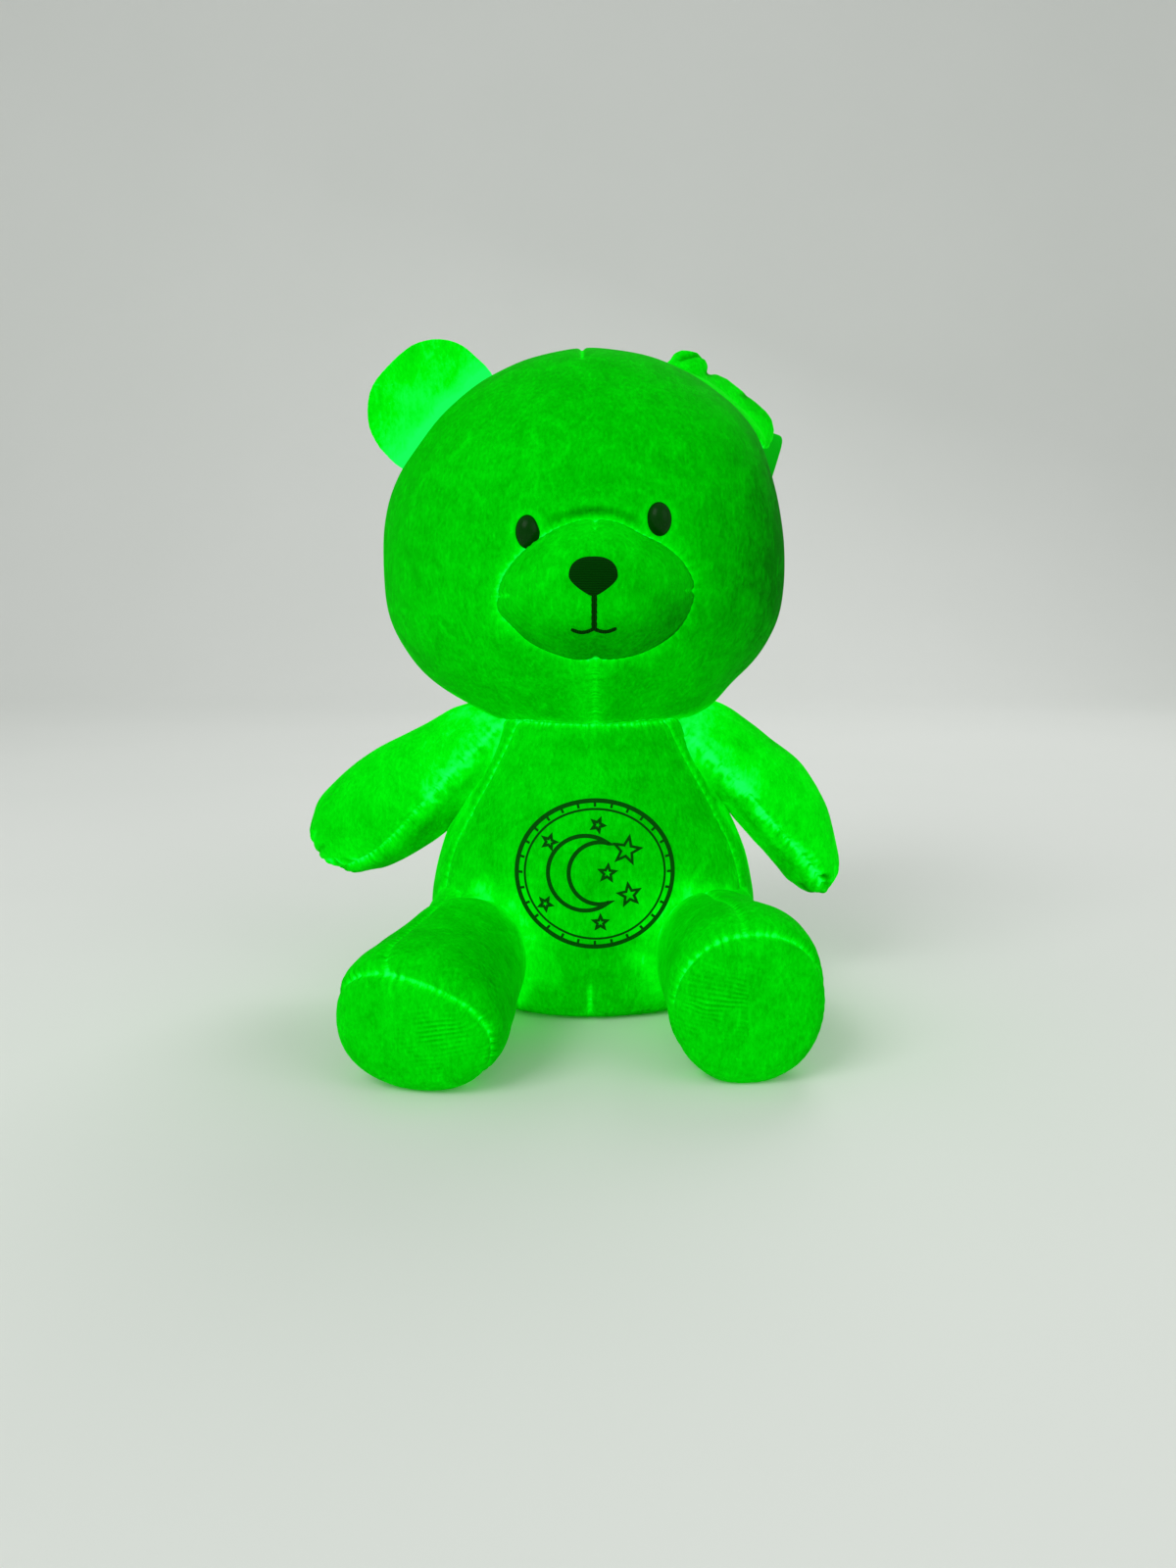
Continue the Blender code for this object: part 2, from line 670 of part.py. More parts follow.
def ear_frame(pose):
    """Where an ear hinges: its axis lies just off the head, along the ear's base."""
    side = pose["side"]
    # The top of the head is evenly round, so the point comes from its own outline
    share = math.cos(pose["around"]) ** (2 / UPPER_FULLNESS)
    out = side * math.sin(pose["around"]) ** (2 / UPPER_FULLNESS)
    point = Vector((HEAD_SIDE_SHIFT + HEAD_HALF_WIDTH * out, HEAD_SEAM_BACK,
                    HEAD_CENTRE_HEIGHT + HEAD_HALF_HEIGHT * share))
    outward = Vector((
        side * abs(out) ** (UPPER_FULLNESS - 1) / HEAD_HALF_WIDTH,
        0,
        share ** (UPPER_FULLNESS - 1) / HEAD_HALF_HEIGHT,
    )).normalized()
    axis = Y.cross(outward)
    hinge = point + outward * EAR_PIVOT_HEIGHT
    turn = Matrix((axis, Y, outward)).transposed().to_4x4()
    return hinge, turn


def make_ear(name, pose, head_outer):
    """An ear's front and back panels, cupped and cut to the head."""
    hinge, turn = ear_frame(pose)
    placed = Matrix.Translation(hinge) @ turn
    # The head as the ear meets it upright, leaning forward and folded back
    seats = []
    for lean in (0, EAR_FORWARD, -EAR_FOLD / 2, -EAR_FOLD):
        seat = add_object(name + "_ear_seat", offset(head_outer, RUN_GAP))
        seat.data.transform(placed @ Matrix.Rotation(-lean, 4, "X") @ placed.inverted())
        seats.append(seat)
    middle = EAR_REACH - EAR_HALF_HEIGHT - EAR_PIVOT_HEIGHT
    panels = []
    for face, step in (("front", -1), ("back", 1)):
        mesh = bpy.data.meshes.new(name)
        work = bmesh.new()
        bmesh.ops.create_uvsphere(work, u_segments=LIMB_SEGMENTS, v_segments=ROOT_RINGS + 2, radius=1)
        for vertex in work.verts:
            across, upward, through = vertex.co
            bowl = pose["cup"] * ((middle / EAR_HALF_HEIGHT) ** 2 - across ** 2 - upward ** 2)
            shift = step * (EAR_PANEL + SEAM_GAP) / 2
            height = middle + EAR_HALF_HEIGHT * upward
            vertex.co = (EAR_HALF_WIDTH * across, bowl + shift + EAR_PANEL / 2 * through, height)
        bmesh.ops.recalc_face_normals(work, faces=work.faces)
        bmesh.ops.transform(work, matrix=placed, verts=work.verts)
        work.to_mesh(mesh)
        work.free()
        finish = "plush_panel" if face == "front" else "plush"
        panel = add_object(name + "_ear_" + face, mesh, finish)
        boolean(panel, "DIFFERENCE", *seats)
        panels.append(panel)
    return panels, hinge, turn


def make_tag(head_outer):
    """A blank card tag with rounded corners, caught in the seam under the folded ear."""
    half_wide, half_long = TAG_WIDTH / 2, TAG_LENGTH / 2
    outline = []
    corners = ((1, 1, 0), (-1, 1, 1), (-1, -1, 2), (1, -1, 3))
    for across, upward, quarter in corners:
        for step in range(ROOT_RINGS + 1):
            angle = math.pi / 2 * (quarter + step / ROOT_RINGS)
            outline.append((
                across * (half_wide - TAG_CORNER) + TAG_CORNER * math.cos(angle),
                upward * (half_long - TAG_CORNER) + TAG_CORNER * math.sin(angle),
            ))
    share = (TAG_HEIGHT - HEAD_CENTRE_HEIGHT) / HEAD_HALF_HEIGHT
    full = head_fullness(share)
    edge = HEAD_HALF_WIDTH * math.sqrt(full ** 2 - (TAG_BACK / HEAD_HALF_DEPTH) ** 2)
    middle = Vector((HEAD_SIDE_SHIFT + edge + TAG_PROUD, TAG_BACK, TAG_HEIGHT))
    place = Matrix.Translation(middle) @ Matrix.Rotation(math.pi / 2, 4, "X")
    place = place @ Matrix.Rotation(TAG_LEAN, 4, "Z")
    tag = add_object("ear_tag", prism("ear_tag", outline, TAG_THICKNESS / 2, place), "tag_card")
    boolean(tag, "DIFFERENCE", add_object("tag_seat", offset(head_outer, SEAM_GAP)))
    return tag


def make_arm(name, pose, body_outer):
    """An arm's cover and filling, open at the shoulder and pressed to the body's side."""
    side = pose["side"]
    shoulder = Vector((side * SHOULDER_OUT, SHOULDER_BACK, SHOULDER_HEIGHT))
    carrier = pivot(name + "_shoulder_axis", shoulder)
    outer = arm_form(pose, LIMB_SEGMENTS)
    hollow = add_object(name + "_arm_hollow", offset(outer, -CLOTH))
    cover = add_object(name + "_arm_cover", outer.copy(), "plush")
    filled = offset(arm_form(pose, FILLING_SEGMENTS), -CLOTH - FILL_GAP)
    filling = add_object(name + "_arm_filling", filled, "filling")
    inward = -Vector((side * math.cos(pose["start"]), 0, math.sin(pose["start"])))
    opening = rod(name + "_arm_opening", shoulder, shoulder + inward * ARM_ROOT_RADIUS * 2, ARM_OPENING)
    boolean(cover, "DIFFERENCE", hollow, opening)
    # The body's side as the arm meets it when sewn on and when pushed down
    flank = add_object(name + "_flank", offset(body_outer, RUN_GAP))
    lowered = add_object(name + "_flank_lowered", offset(body_outer, RUN_GAP))
    turn = Matrix.Rotation(-side * pose["lower"], 4, "Y")
    lowered.data.transform(Matrix.Translation(shoulder) @ turn @ Matrix.Translation(-shoulder))
    boolean(flank, "UNION", lowered)
    boolean(flank, "DIFFERENCE", ball(name + "_root", shoulder, ARM_ROOT_RADIUS + RUN_GAP / 4))
    bake(flank)
    boolean(cover, "DIFFERENCE", flank)
    boolean(filling, "DIFFERENCE", flank)
    for item in (cover, filling):
        hang(item, carrier, shoulder)


def make_leg(name, pose):
    """A leg's cover, sole and filling, flat where the foot rests."""
    hip, sole_centre = leg_line(pose)
    carrier = pivot(name + "_hip_axis", hip)
    outer = leg_form(pose, LIMB_SEGMENTS)
    hollow = add_object(name + "_leg_hollow", offset(outer, -CLOTH))
    along = (sole_centre - hip).normalized()
    seam = sole_centre - along * SOLE_SEAM
    wide = (pose["half_wide"] + pose["half_high"]) * 2
    far = sole_centre + along * OVERRUN
    beyond = rod(name + "_beyond_sole_seam", seam - along * SEAM_GAP / 2, far, wide)
    short = rod(name + "_short_of_sole_seam", hip - along * wide, seam + along * SEAM_GAP / 2, wide)
    span = Vector((1, 1, 0)) * (pose["length"] + wide)
    floor = block(name + "_floor", -span * 2 - Z * OVERRUN, span * 2)
    cover = add_object(name + "_leg_cover", outer.copy(), "plush")
    boolean(cover, "DIFFERENCE", hollow, beyond, floor)
    sole = add_object(name + "_sole_panel", outer.copy(), "plush_panel")
    boolean(sole, "DIFFERENCE", hollow, short, floor)
    filled = offset(leg_form(pose, FILLING_SEGMENTS), -CLOTH - FILL_GAP)
    filling = add_object(name + "_leg_filling", filled, "filling")
    for item in (cover, sole, filling):
        hang(item, carrier, hip)


def main():
    """Clears the scene and builds the bear."""
    for item in list(bpy.data.objects):
        bpy.data.objects.remove(item)
    bpy.context.scene.collection.children.link(PARTS)
    bpy.context.scene.collection.children.link(CUTTERS)

    neck = Z * NECK_PIVOT_HEIGHT
    neck_cut = ball("neck_cut", neck, NECK_BALL_RADIUS + RUN_GAP)
    cuts = []
    for name, pose in ARM_POSES.items():
        shoulder = Vector((pose["side"] * SHOULDER_OUT, SHOULDER_BACK, SHOULDER_HEIGHT))
        cuts.append(ball(name + "_shoulder_cut", shoulder, ARM_ROOT_RADIUS + RUN_GAP, LIMB_SEGMENTS))
    for name, pose in LEG_POSES.items():
        hip, _ = leg_line(pose)
        cuts.append(ball(name + "_hip_cut", hip, LEG_ROOT_RADIUS + RUN_GAP, LIMB_SEGMENTS))
        cuts.append(hip_fan(name + "_hip_fan", pose))
    body_outer = make_body(cuts)

    for name, pose in ARM_POSES.items():
        make_arm(name, pose, body_outer)
    for name, pose in LEG_POSES.items():
        make_leg(name, pose)

    tilt = Matrix.Rotation(-HEAD_TILT, 4, "Y")
    head_axis = pivot("head_axis", neck, tilt)
    head_parts, head_outer = make_head(neck_cut)
    for item in head_parts + [make_tag(head_outer)]:
        hang(bake(item), head_axis, neck)
    for name, pose in EAR_POSES.items():
        panels, hinge, turn = make_ear(name, pose, head_outer)
        lean = turn @ Matrix.Rotation(-pose["fold"], 4, "X")
        ear_axis = pivot(name + "_ear_axis", hinge - neck, lean, head_axis)
        for panel in panels:
            bake(panel)
            panel.data.transform(turn.inverted() @ Matrix.Translation(-hinge))
            panel.parent = ear_axis


main()
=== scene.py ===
"""The looks of a glowing plush bear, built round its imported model.

Lengths are in metres, Z is up and the face looks towards -Y. Left is -X, as seen from the
front. Every soft piece is a grid of points: rows run along it and columns run round it.
"""

import math

import bmesh
import bpy
import numpy as np
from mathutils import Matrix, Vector
from mathutils.bvhtree import BVHTree


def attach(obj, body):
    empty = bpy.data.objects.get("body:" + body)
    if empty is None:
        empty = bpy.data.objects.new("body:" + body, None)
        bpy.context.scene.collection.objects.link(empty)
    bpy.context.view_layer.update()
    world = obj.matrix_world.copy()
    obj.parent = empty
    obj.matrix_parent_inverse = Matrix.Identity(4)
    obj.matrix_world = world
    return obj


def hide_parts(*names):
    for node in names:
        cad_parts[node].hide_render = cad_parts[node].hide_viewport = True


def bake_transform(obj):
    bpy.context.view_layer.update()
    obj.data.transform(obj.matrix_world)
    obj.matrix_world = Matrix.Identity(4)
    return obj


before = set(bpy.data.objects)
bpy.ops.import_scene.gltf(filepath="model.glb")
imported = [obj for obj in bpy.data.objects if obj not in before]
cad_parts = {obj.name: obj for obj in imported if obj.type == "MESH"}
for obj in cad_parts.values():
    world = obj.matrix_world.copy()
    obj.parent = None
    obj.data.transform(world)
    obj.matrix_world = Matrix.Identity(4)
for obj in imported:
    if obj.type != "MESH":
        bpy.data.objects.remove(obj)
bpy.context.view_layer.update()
MM = 0.001
FINE = 1.0


# Camera, floor and lights

camera = bpy.data.objects.new("camera", bpy.data.cameras.new("camera"))
bpy.context.scene.collection.objects.link(camera)
bpy.context.scene.camera = camera
camera.data.lens = 27.0
camera.data.sensor_width = 36.0
camera.data.clip_start = 0.01
camera.location = (-0.002, -0.46, 0.16)
camera.rotation_euler = (math.radians(90 - 9.64), 0, 0)
bpy.context.scene.view_settings.view_transform = "Standard"


def linear(code):
    """A colour written as six sRGB hex digits, as the linear values that shaders take."""
    parts = [int(code[i:i + 2], 16) / 255 for i in (0, 2, 4)]
    return [c / 12.92 if c <= 0.04045 else ((c + 0.055) / 1.055) ** 2.4 for c in parts] + [1.0]


def node(tree, kind, settings=None, **links):
    """Adds a shader node; a link's value is a socket to join or a plain value to set."""
    made = tree.nodes.new(kind)
    for key, value in (settings or {}).items():
        setattr(made, key, value)
    for key, value in links.items():
        name = key.replace("_", " ")
        socket = made.inputs[int(key[1:])] if key[1:].isdigit() else made.inputs[name]
        if isinstance(value, bpy.types.NodeSocket):
            tree.links.new(value, socket)
        else:
            socket.default_value = value
    return made


def blank(name):
    """A new material and its tree, main shader and output."""
    made = bpy.data.materials.new(name)
    made.use_nodes = True
    return made, made.node_tree, made.node_tree.nodes["Principled BSDF"]


def add(name, mesh, finish):
    """Puts a mesh in the scene with a material."""
    item = bpy.data.objects.new(name, mesh)
    bpy.context.scene.collection.objects.link(item)
    if finish:
        mesh.materials.clear()
        mesh.materials.append(finish)
    mesh.shade_smooth()
    return item


def studio():
    """A pale sweep of floor and backdrop, two soft lamps and an even world."""
    outline = [(-2.5, 0.0), (1.1, 0.0)]
    for step in range(1, 13):
        angle = math.pi / 2 * step / 12
        outline.append((1.1 + 0.6 * math.sin(angle), 0.6 - 0.6 * math.cos(angle)))
    outline.append((1.7, 3.2))
    verts = [(x, y, z) for y, z in outline for x in (-3.5, 3.5)]
    faces = [(2 * i, 2 * i + 1, 2 * i + 3, 2 * i + 2) for i in range(len(outline) - 1)]
    mesh = bpy.data.meshes.new("sweep")
    mesh.from_pydata(verts, [], faces)
    paint, tree, shader = blank("pale_painted_sweep")
    settings(shader, Roughness=0.9, Specular_IOR_Level=0.15)
    colour_by(tree, shader, speckle(tree, 3.0, Detail=3.0), linear("e4e7e3"), linear("eaece9"))
    add("sweep", mesh, paint)

    world = bpy.data.worlds.new("even_light")
    bpy.context.scene.world = world
    world.use_nodes = True
    world.node_tree.nodes["Background"].inputs["Color"].default_value = linear("f4f6f4")
    world.node_tree.nodes["Background"].inputs["Strength"].default_value = 0.55
    for name, place, size, power in (
        ("key", (-0.9, -1.1, 1.3), 0.9, 11.0),
        ("fill", (1.2, -0.9, 0.8), 1.1, 3.5),
        ("back", (0.4, 1.0, 1.2), 0.8, 5.0),
    ):
        lamp = bpy.data.objects.new(name, bpy.data.lights.new(name, "AREA"))
        bpy.context.scene.collection.objects.link(lamp)
        lamp.data.size = size
        lamp.data.energy = power
        lamp.location = place
        aim = Vector((0, 0, 0.12)) - Vector(place)
        lamp.rotation_euler = aim.to_track_quat("-Z", "Y").to_euler()


# Grids of points


def unit(vectors):
    return vectors / (np.linalg.norm(vectors, axis=-1, keepdims=True) + 1e-12)


def clamp(values):
    return np.clip(values, 0, 1)


def bell(distance, width):
    """A smooth weight that is 1 at no distance and next to nothing at twice the width."""
    return np.exp(-(distance / width) ** 2)


def powered(values, power):
    """Values raised to a power with their sign kept, which squares or rounds an oval."""
    return np.sign(values) * np.abs(values) ** power


def circle(count):
    """Angles of evenly spaced points once round."""
    return np.linspace(0, 2 * math.pi, count, endpoint=False)


def face_middles(values):
    """The mean of each face's four corners."""
    middle = (values[:-1] + values[1:]) / 2
    return (middle + np.roll(middle, -1, 1)) / 2


def close_ends(grid):
    """Draws the first and the last row of a grid together, each into one point."""
    grid[0], grid[-1] = grid[0].mean(axis=0), grid[-1].mean(axis=0)


def spline(keys, count):
    """Evenly spaced values along a smooth line through the keys."""
    keys = np.asarray(keys, float)
    at = np.concatenate([[0], np.cumsum(np.linalg.norm(np.diff(keys, axis=0), axis=1))])
    slope = np.gradient(keys, at, axis=0)
    want = at[-1] * np.linspace(0, 1, count)
    seg = np.clip(np.searchsorted(at, want, side="right") - 1, 0, len(at) - 2)
    gap = (at[seg + 1] - at[seg])[:, None]
    t = (want[:, None] - at[seg][:, None]) / gap
    first = (2 * t ** 3 - 3 * t ** 2 + 1) * keys[seg] + (t ** 3 - 2 * t ** 2 + t) * gap * slope[seg]
    return first + (3 * t ** 2 - 2 * t ** 3) * keys[seg + 1] + (t ** 3 - t ** 2) * gap * slope[seg + 1]


def facing(grid, middle=None):
    """The outward direction at each point of a closed grid."""
    along = np.gradient(grid, axis=0)
    around = np.roll(grid, -1, 1) - np.roll(grid, 1, 1)
    out = np.cross(around, along)
    out[0] = out[1].mean(axis=0)
    out[-1] = out[-2].mean(axis=0)
    out = unit(out)
    centre = grid.mean(axis=(0, 1)) if middle is None else middle
    if np.sum(out * (grid - centre)) < 0:
        out = -out
    return out


def lumps(points, size, seed=0):
    """Smooth uneven values from -1 to 1 with lumps of about the given size."""
    q = points / size + np.array([seed * 7.13, seed * 3.71, seed * 5.37]) + 100
    base = np.floor(q)
    f = q - base
    f = f * f * (3 - 2 * f)
    total = 0
    for dx in (0, 1):
        for dy in (0, 1):
            for dz in (0, 1):
                corner = base + np.array([dx, dy, dz])
                dot = corner @ np.array([12.9898, 78.233, 37.719])
                value = np.modf(np.abs(np.sin(dot)) * 43758.5453)[0] * 2 - 1
                share = (f[..., 0] if dx else 1 - f[..., 0]) * (f[..., 1] if dy else 1 - f[..., 1])
                total = total + value * share * (f[..., 2] if dz else 1 - f[..., 2])
    return total


def near(points, line, margin=0.022):
    """How far each point is from a line, and how far along the line it is nearest to."""
    line = np.asarray(line, float)
    every = points.reshape(-1, 3)
    close = np.all((every > line.min(axis=0) - margin) & (every < line.max(axis=0) + margin), axis=1)
    flat = every[close]
    best = np.full(len(flat), 1e9)
    along = np.zeros(len(flat))
    run = 0.0
    for a, b in zip(line[:-1], line[1:]):
        d = b - a
        length = float(np.linalg.norm(d))
        if length < 1e-9:
            continue
        t = clamp((flat - a) @ d / length ** 2)
        gap = np.linalg.norm(flat - a - t[:, None] * d, axis=1)
        closer = gap < best
        best[closer] = gap[closer]
        along[closer] = run + t[closer] * length
        run += length
    far, where = np.full(len(every), 1.0), np.zeros(len(every))
    far[close], where[close] = best, along
    return far.reshape(points.shape[:-1]), where.reshape(points.shape[:-1]), run


class Cloth:
    """A grid of points with the height of its seams and how brightly each point glows."""

    def __init__(self, grid, middle=None):
        self.grid = grid
        self.out = facing(grid, middle)
        self.lift = np.zeros(grid.shape[:2])
        self.glow = np.zeros(grid.shape[:2])
        # Place along the nearest seam, distance from it and the depth of its pleats
        self.seam = np.zeros(grid.shape[:2] + (3,))
        self.seam[..., 1] = 1.0
        # How much of the light from facing cloth each point shows
        self.open = np.ones(grid.shape[:2])

    def sew(self, line, depth=0.9, width=1.5, puff=0.35, gather=0.22, pitch=3.2, reach=4.0,
            glow=0.3, halo=0.15, pleats=0.5, fade=0.0, seed=1):
        """Draws the cloth in along a seam, with gathers that run out from it, and paints light on the
        seam (glow) and round it (halo). Lengths in mm.
        """
        distance, place, length = near(self.grid, line)
        gap, along, length = distance / MM, place / MM, length / MM
        ends = np.ones(gap.shape)
        if fade:
            ends = clamp(np.minimum(along, length - along) / fade)
            ends = np.where((along <= 0) | (along >= length), 0, ends)
        here = self.grid / MM
        wander = lumps(here, 9.0, seed) * 1.6 + lumps(here, 4.0, seed + 3) * 0.8
        uneven = 0.55 + 0.6 * lumps(here, 12.0, seed + 5)
        wave = np.cos(2 * math.pi * along / pitch + wander) * uneven
        tight = bell(gap, width)
        spread = np.exp(-gap / reach)
        self.lift += ends * MM * (-depth * tight + puff * (gap / reach) * np.exp(1 - gap / reach)
                                  + gather * wave * spread * (1 - 0.6 * tight))
        bright = glow * bell(gap, 0.7 * width) * (0.8 + 0.4 * wave)
        self.glow += ends * (bright + halo * spread * (0.8 + 0.6 * wave))
        nearer = (distance < self.seam[..., 1]) & (ends > 0)
        self.seam[nearer] = np.stack([place, distance, pleats * ends], -1)[nearer]

    def fold(self, line, height=0.6, width=2.0, glow=0.0, fade=4.0):
        """A soft ridge, or with a negative height a crease, along a line, painted lighter or darker by
        glow. Lengths in mm.
        """
        gap, along, length = near(self.grid, line)
        gap, along, length = gap / MM, along / MM, length / MM
        ends = clamp(np.minimum(along, length - along) / fade)
        shape = ends * bell(gap, width)
        self.lift += height * MM * shape
        self.glow += glow * shape

    def soften(self, size, height, seed):
        """Shallow lumps of stuffing under the cloth. Lengths in mm."""
        self.lift += height * MM * lumps(self.grid / MM, size, seed)

    def charge(self, amount=0.30, towards=(-0.42, -1.0, 0.30)):
        """Painted light: brighter where the cloth faces a lamp in front, to the left and above, darker
        where it faces away.
        """
        light = np.array(towards) / np.linalg.norm(towards)
        self.glow += amount * (np.maximum(facing(self.grid) @ light, 0.05) - 0.72)

    def settle(self):
        """Moves the cloth to its sewn shape."""
        self.grid = self.grid + self.out * self.lift[..., None]
        self.lift[:] = 0


FILLING_FRAMES = 20


def fill(cloth, held, pressure=4.0, cap=1.6, step=6):
    """Lets a coarse copy of a grid fill out as stuffed cloth, and moves the grid the same way."""
    rows = np.unique(np.concatenate([np.arange(0, cloth.grid.shape[0], step), [cloth.grid.shape[0] - 1]]))
    cols = np.arange(0, cloth.grid.shape[1], step)
    coarse = cloth.grid[np.ix_(rows, cols)]
    mesh = grid_mesh("filling_out", coarse)
    item = add("filling_out", mesh, None)
    group = item.vertex_groups.new(name="held")
    fixed = flat_values(held[np.ix_(rows, cols)])
    for index, value in enumerate(fixed):
        if value > 0.01:
            group.add([index], float(value), "REPLACE")
    step_cloth = item.modifiers.new("cloth", "CLOTH")
    sewn = step_cloth.settings
    sewn.quality = 4
    sewn.mass = 0.25
    sewn.tension_stiffness = 20
    sewn.compression_stiffness = 12
    sewn.bending_stiffness = 0.6
    sewn.use_pressure = True
    sewn.uniform_pressure_force = pressure
    sewn.effector_weights.gravity = 0
    sewn.vertex_group_mass = "held"
    step_cloth.collision_settings.use_collision = False
    scene = bpy.context.scene
    before = np.array([v.co for v in mesh.vertices], float)
    for frame_number in range(1, FILLING_FRAMES + 1):
        scene.frame_set(frame_number)
    filled = item.evaluated_get(bpy.context.evaluated_depsgraph_get()).to_mesh()
    move = np.array([v.co for v in filled.vertices], float) - before
    scene.frame_set(1)
    bpy.data.objects.remove(item)
    size = np.linalg.norm(move, axis=1, keepdims=True) + 1e-12
    move *= np.minimum(1, cap * MM / size)
    moved = unflat_values(move, coarse.shape[:2])
    cloth.grid = cloth.grid + upsample(moved, rows, cols, cloth.grid.shape[:2])
    cloth.out = facing(cloth.grid)


def upsample(values, rows, cols, shape):
    """Smooth values on every point of a grid, from values on some rows and columns."""
    for axis, marks in enumerate((rows, np.append(cols, shape[1]))):
        if axis == 1:
            values = np.concatenate([values, values[:, :1]], axis=1)
        every = np.arange(shape[axis])
        seg = np.clip(np.searchsorted(marks, every, side="right") - 1, 0, len(marks) - 2)
        t = (every - marks[seg]) / (marks[seg + 1] - marks[seg])
        t = np.expand_dims(t * t * (3 - 2 * t) * 0.5 + t * 0.5,
                           [other for other in range(values.ndim) if other != axis])
        values = np.take(values, seg, axis) * (1 - t) + np.take(values, seg + 1, axis) * t
    return values


def flat_values(values):
    """Grid values as one a vertex: the first and last rows are one point each."""
    inner = values[1:-1].reshape((-1,) + values.shape[2:])
    return np.concatenate([values[:1, 0], inner, values[-1:, 0]])


def unflat_values(flat, shape):
    grid = np.empty(shape + flat.shape[1:])
    grid[0] = flat[0]
    grid[-1] = flat[-1]
    grid[1:-1] = flat[1:-1].reshape((shape[0] - 2, shape[1]) + flat.shape[1:])
    return grid


def grid_mesh(name, grid, keep=None, values=None):
    """A mesh from a grid whose first and last rows are points; keep picks some of its faces."""
    rows, cols = grid.shape[:2]
    verts = flat_values(grid)
    index = unflat_values(np.arange(len(verts)), (rows, cols)).astype(int)
    # A face's corners as steps down and right, in the order that makes it face outwards
    steps = [(0, 0), (0, 1), (1, 1), (1, 0)]
    a, b, c = (np.roll(grid, -right, 1)[down:rows - 1 + down] for down, right in steps[:3])
    if np.sum(np.cross(b - a, c - b) * facing(grid)[:-1]) < 0:
        steps.reverse()
    row, col = np.indices((rows - 1, cols))
    corners = np.stack([index[row + down, (col + right) % cols] for down, right in steps], -1)
    spots = np.stack([np.stack([(col + right) / cols, (row + down) / (rows - 1)], -1)
                      for down, right in steps], -2)
    faces, places = [], []
    for row in range(rows - 1):
        pick = slice(None) if keep is None else keep[row]
        # At either end two corners are one point, so one of them is left out
        spare = (0, 1) if row == 0 else (1, 0) if row == rows - 2 else None
        use = [k for k in range(4) if steps[k] != spare]
        faces += corners[row][pick][:, use].tolist()
        places.append(spots[row][pick][:, use].reshape(-1, 2))
    used = sorted({number for face in faces for number in face})
    renumber = {old: new for new, old in enumerate(used)}
    mesh = bpy.data.meshes.new(name)
    mesh.from_pydata(verts[used].tolist(), [], [[renumber[number] for number in face] for face in faces])
    layer = mesh.uv_layers.new(name="cloth_uv")
    layer.data.foreach_set("uv", np.concatenate(places).astype(np.float32).ravel())
    for key, grid_values in (values or {}).items():
        kind, field = ("FLOAT_VECTOR", "vector") if grid_values.ndim == 3 else ("FLOAT", "value")
        attribute = mesh.attributes.new(key, kind, "POINT")
        attribute.data.foreach_set(field, flat_values(grid_values)[used].astype(np.float32).ravel())
    return mesh


# Materials


def settings(shader, **values):
    """Sets a shader's plain values; an underscore stands for a space in a socket's name."""
    for key, value in values.items():
        shader.inputs[key.replace("_", " ")].default_value = value


def speckle(tree, scale, **more):
    """Noise on the piece's own coordinates, in turns a metre."""
    place = node(tree, "ShaderNodeTexCoord").outputs["Object"]
    return node(tree, "ShaderNodeTexNoise", Vector=place, Scale=scale, **more).outputs[0]


def colour_by(tree, shader, pattern, low, high):
    """The surface's own colour runs from low to high with a pattern."""
    mixed = node(tree, "ShaderNodeMix", {"data_type": "RGBA"}, Factor=pattern, i6=low, i7=high)
    tree.links.new(mixed.outputs[2], shader.inputs["Base Color"])


def raise_by(tree, shader, pattern, strength, distance):
    """A pattern raises the surface, by a distance in metres."""
    raised = node(tree, "ShaderNodeBump", Height=pattern, Strength=strength, Distance=distance)
    tree.links.new(raised.outputs[0], shader.inputs["Normal"])


def shaded(code, share):
    """A colour with each part taken to a share of itself, at most to full."""
    return [min(1, c * share) for c in linear(code)[:3]] + [1.0]


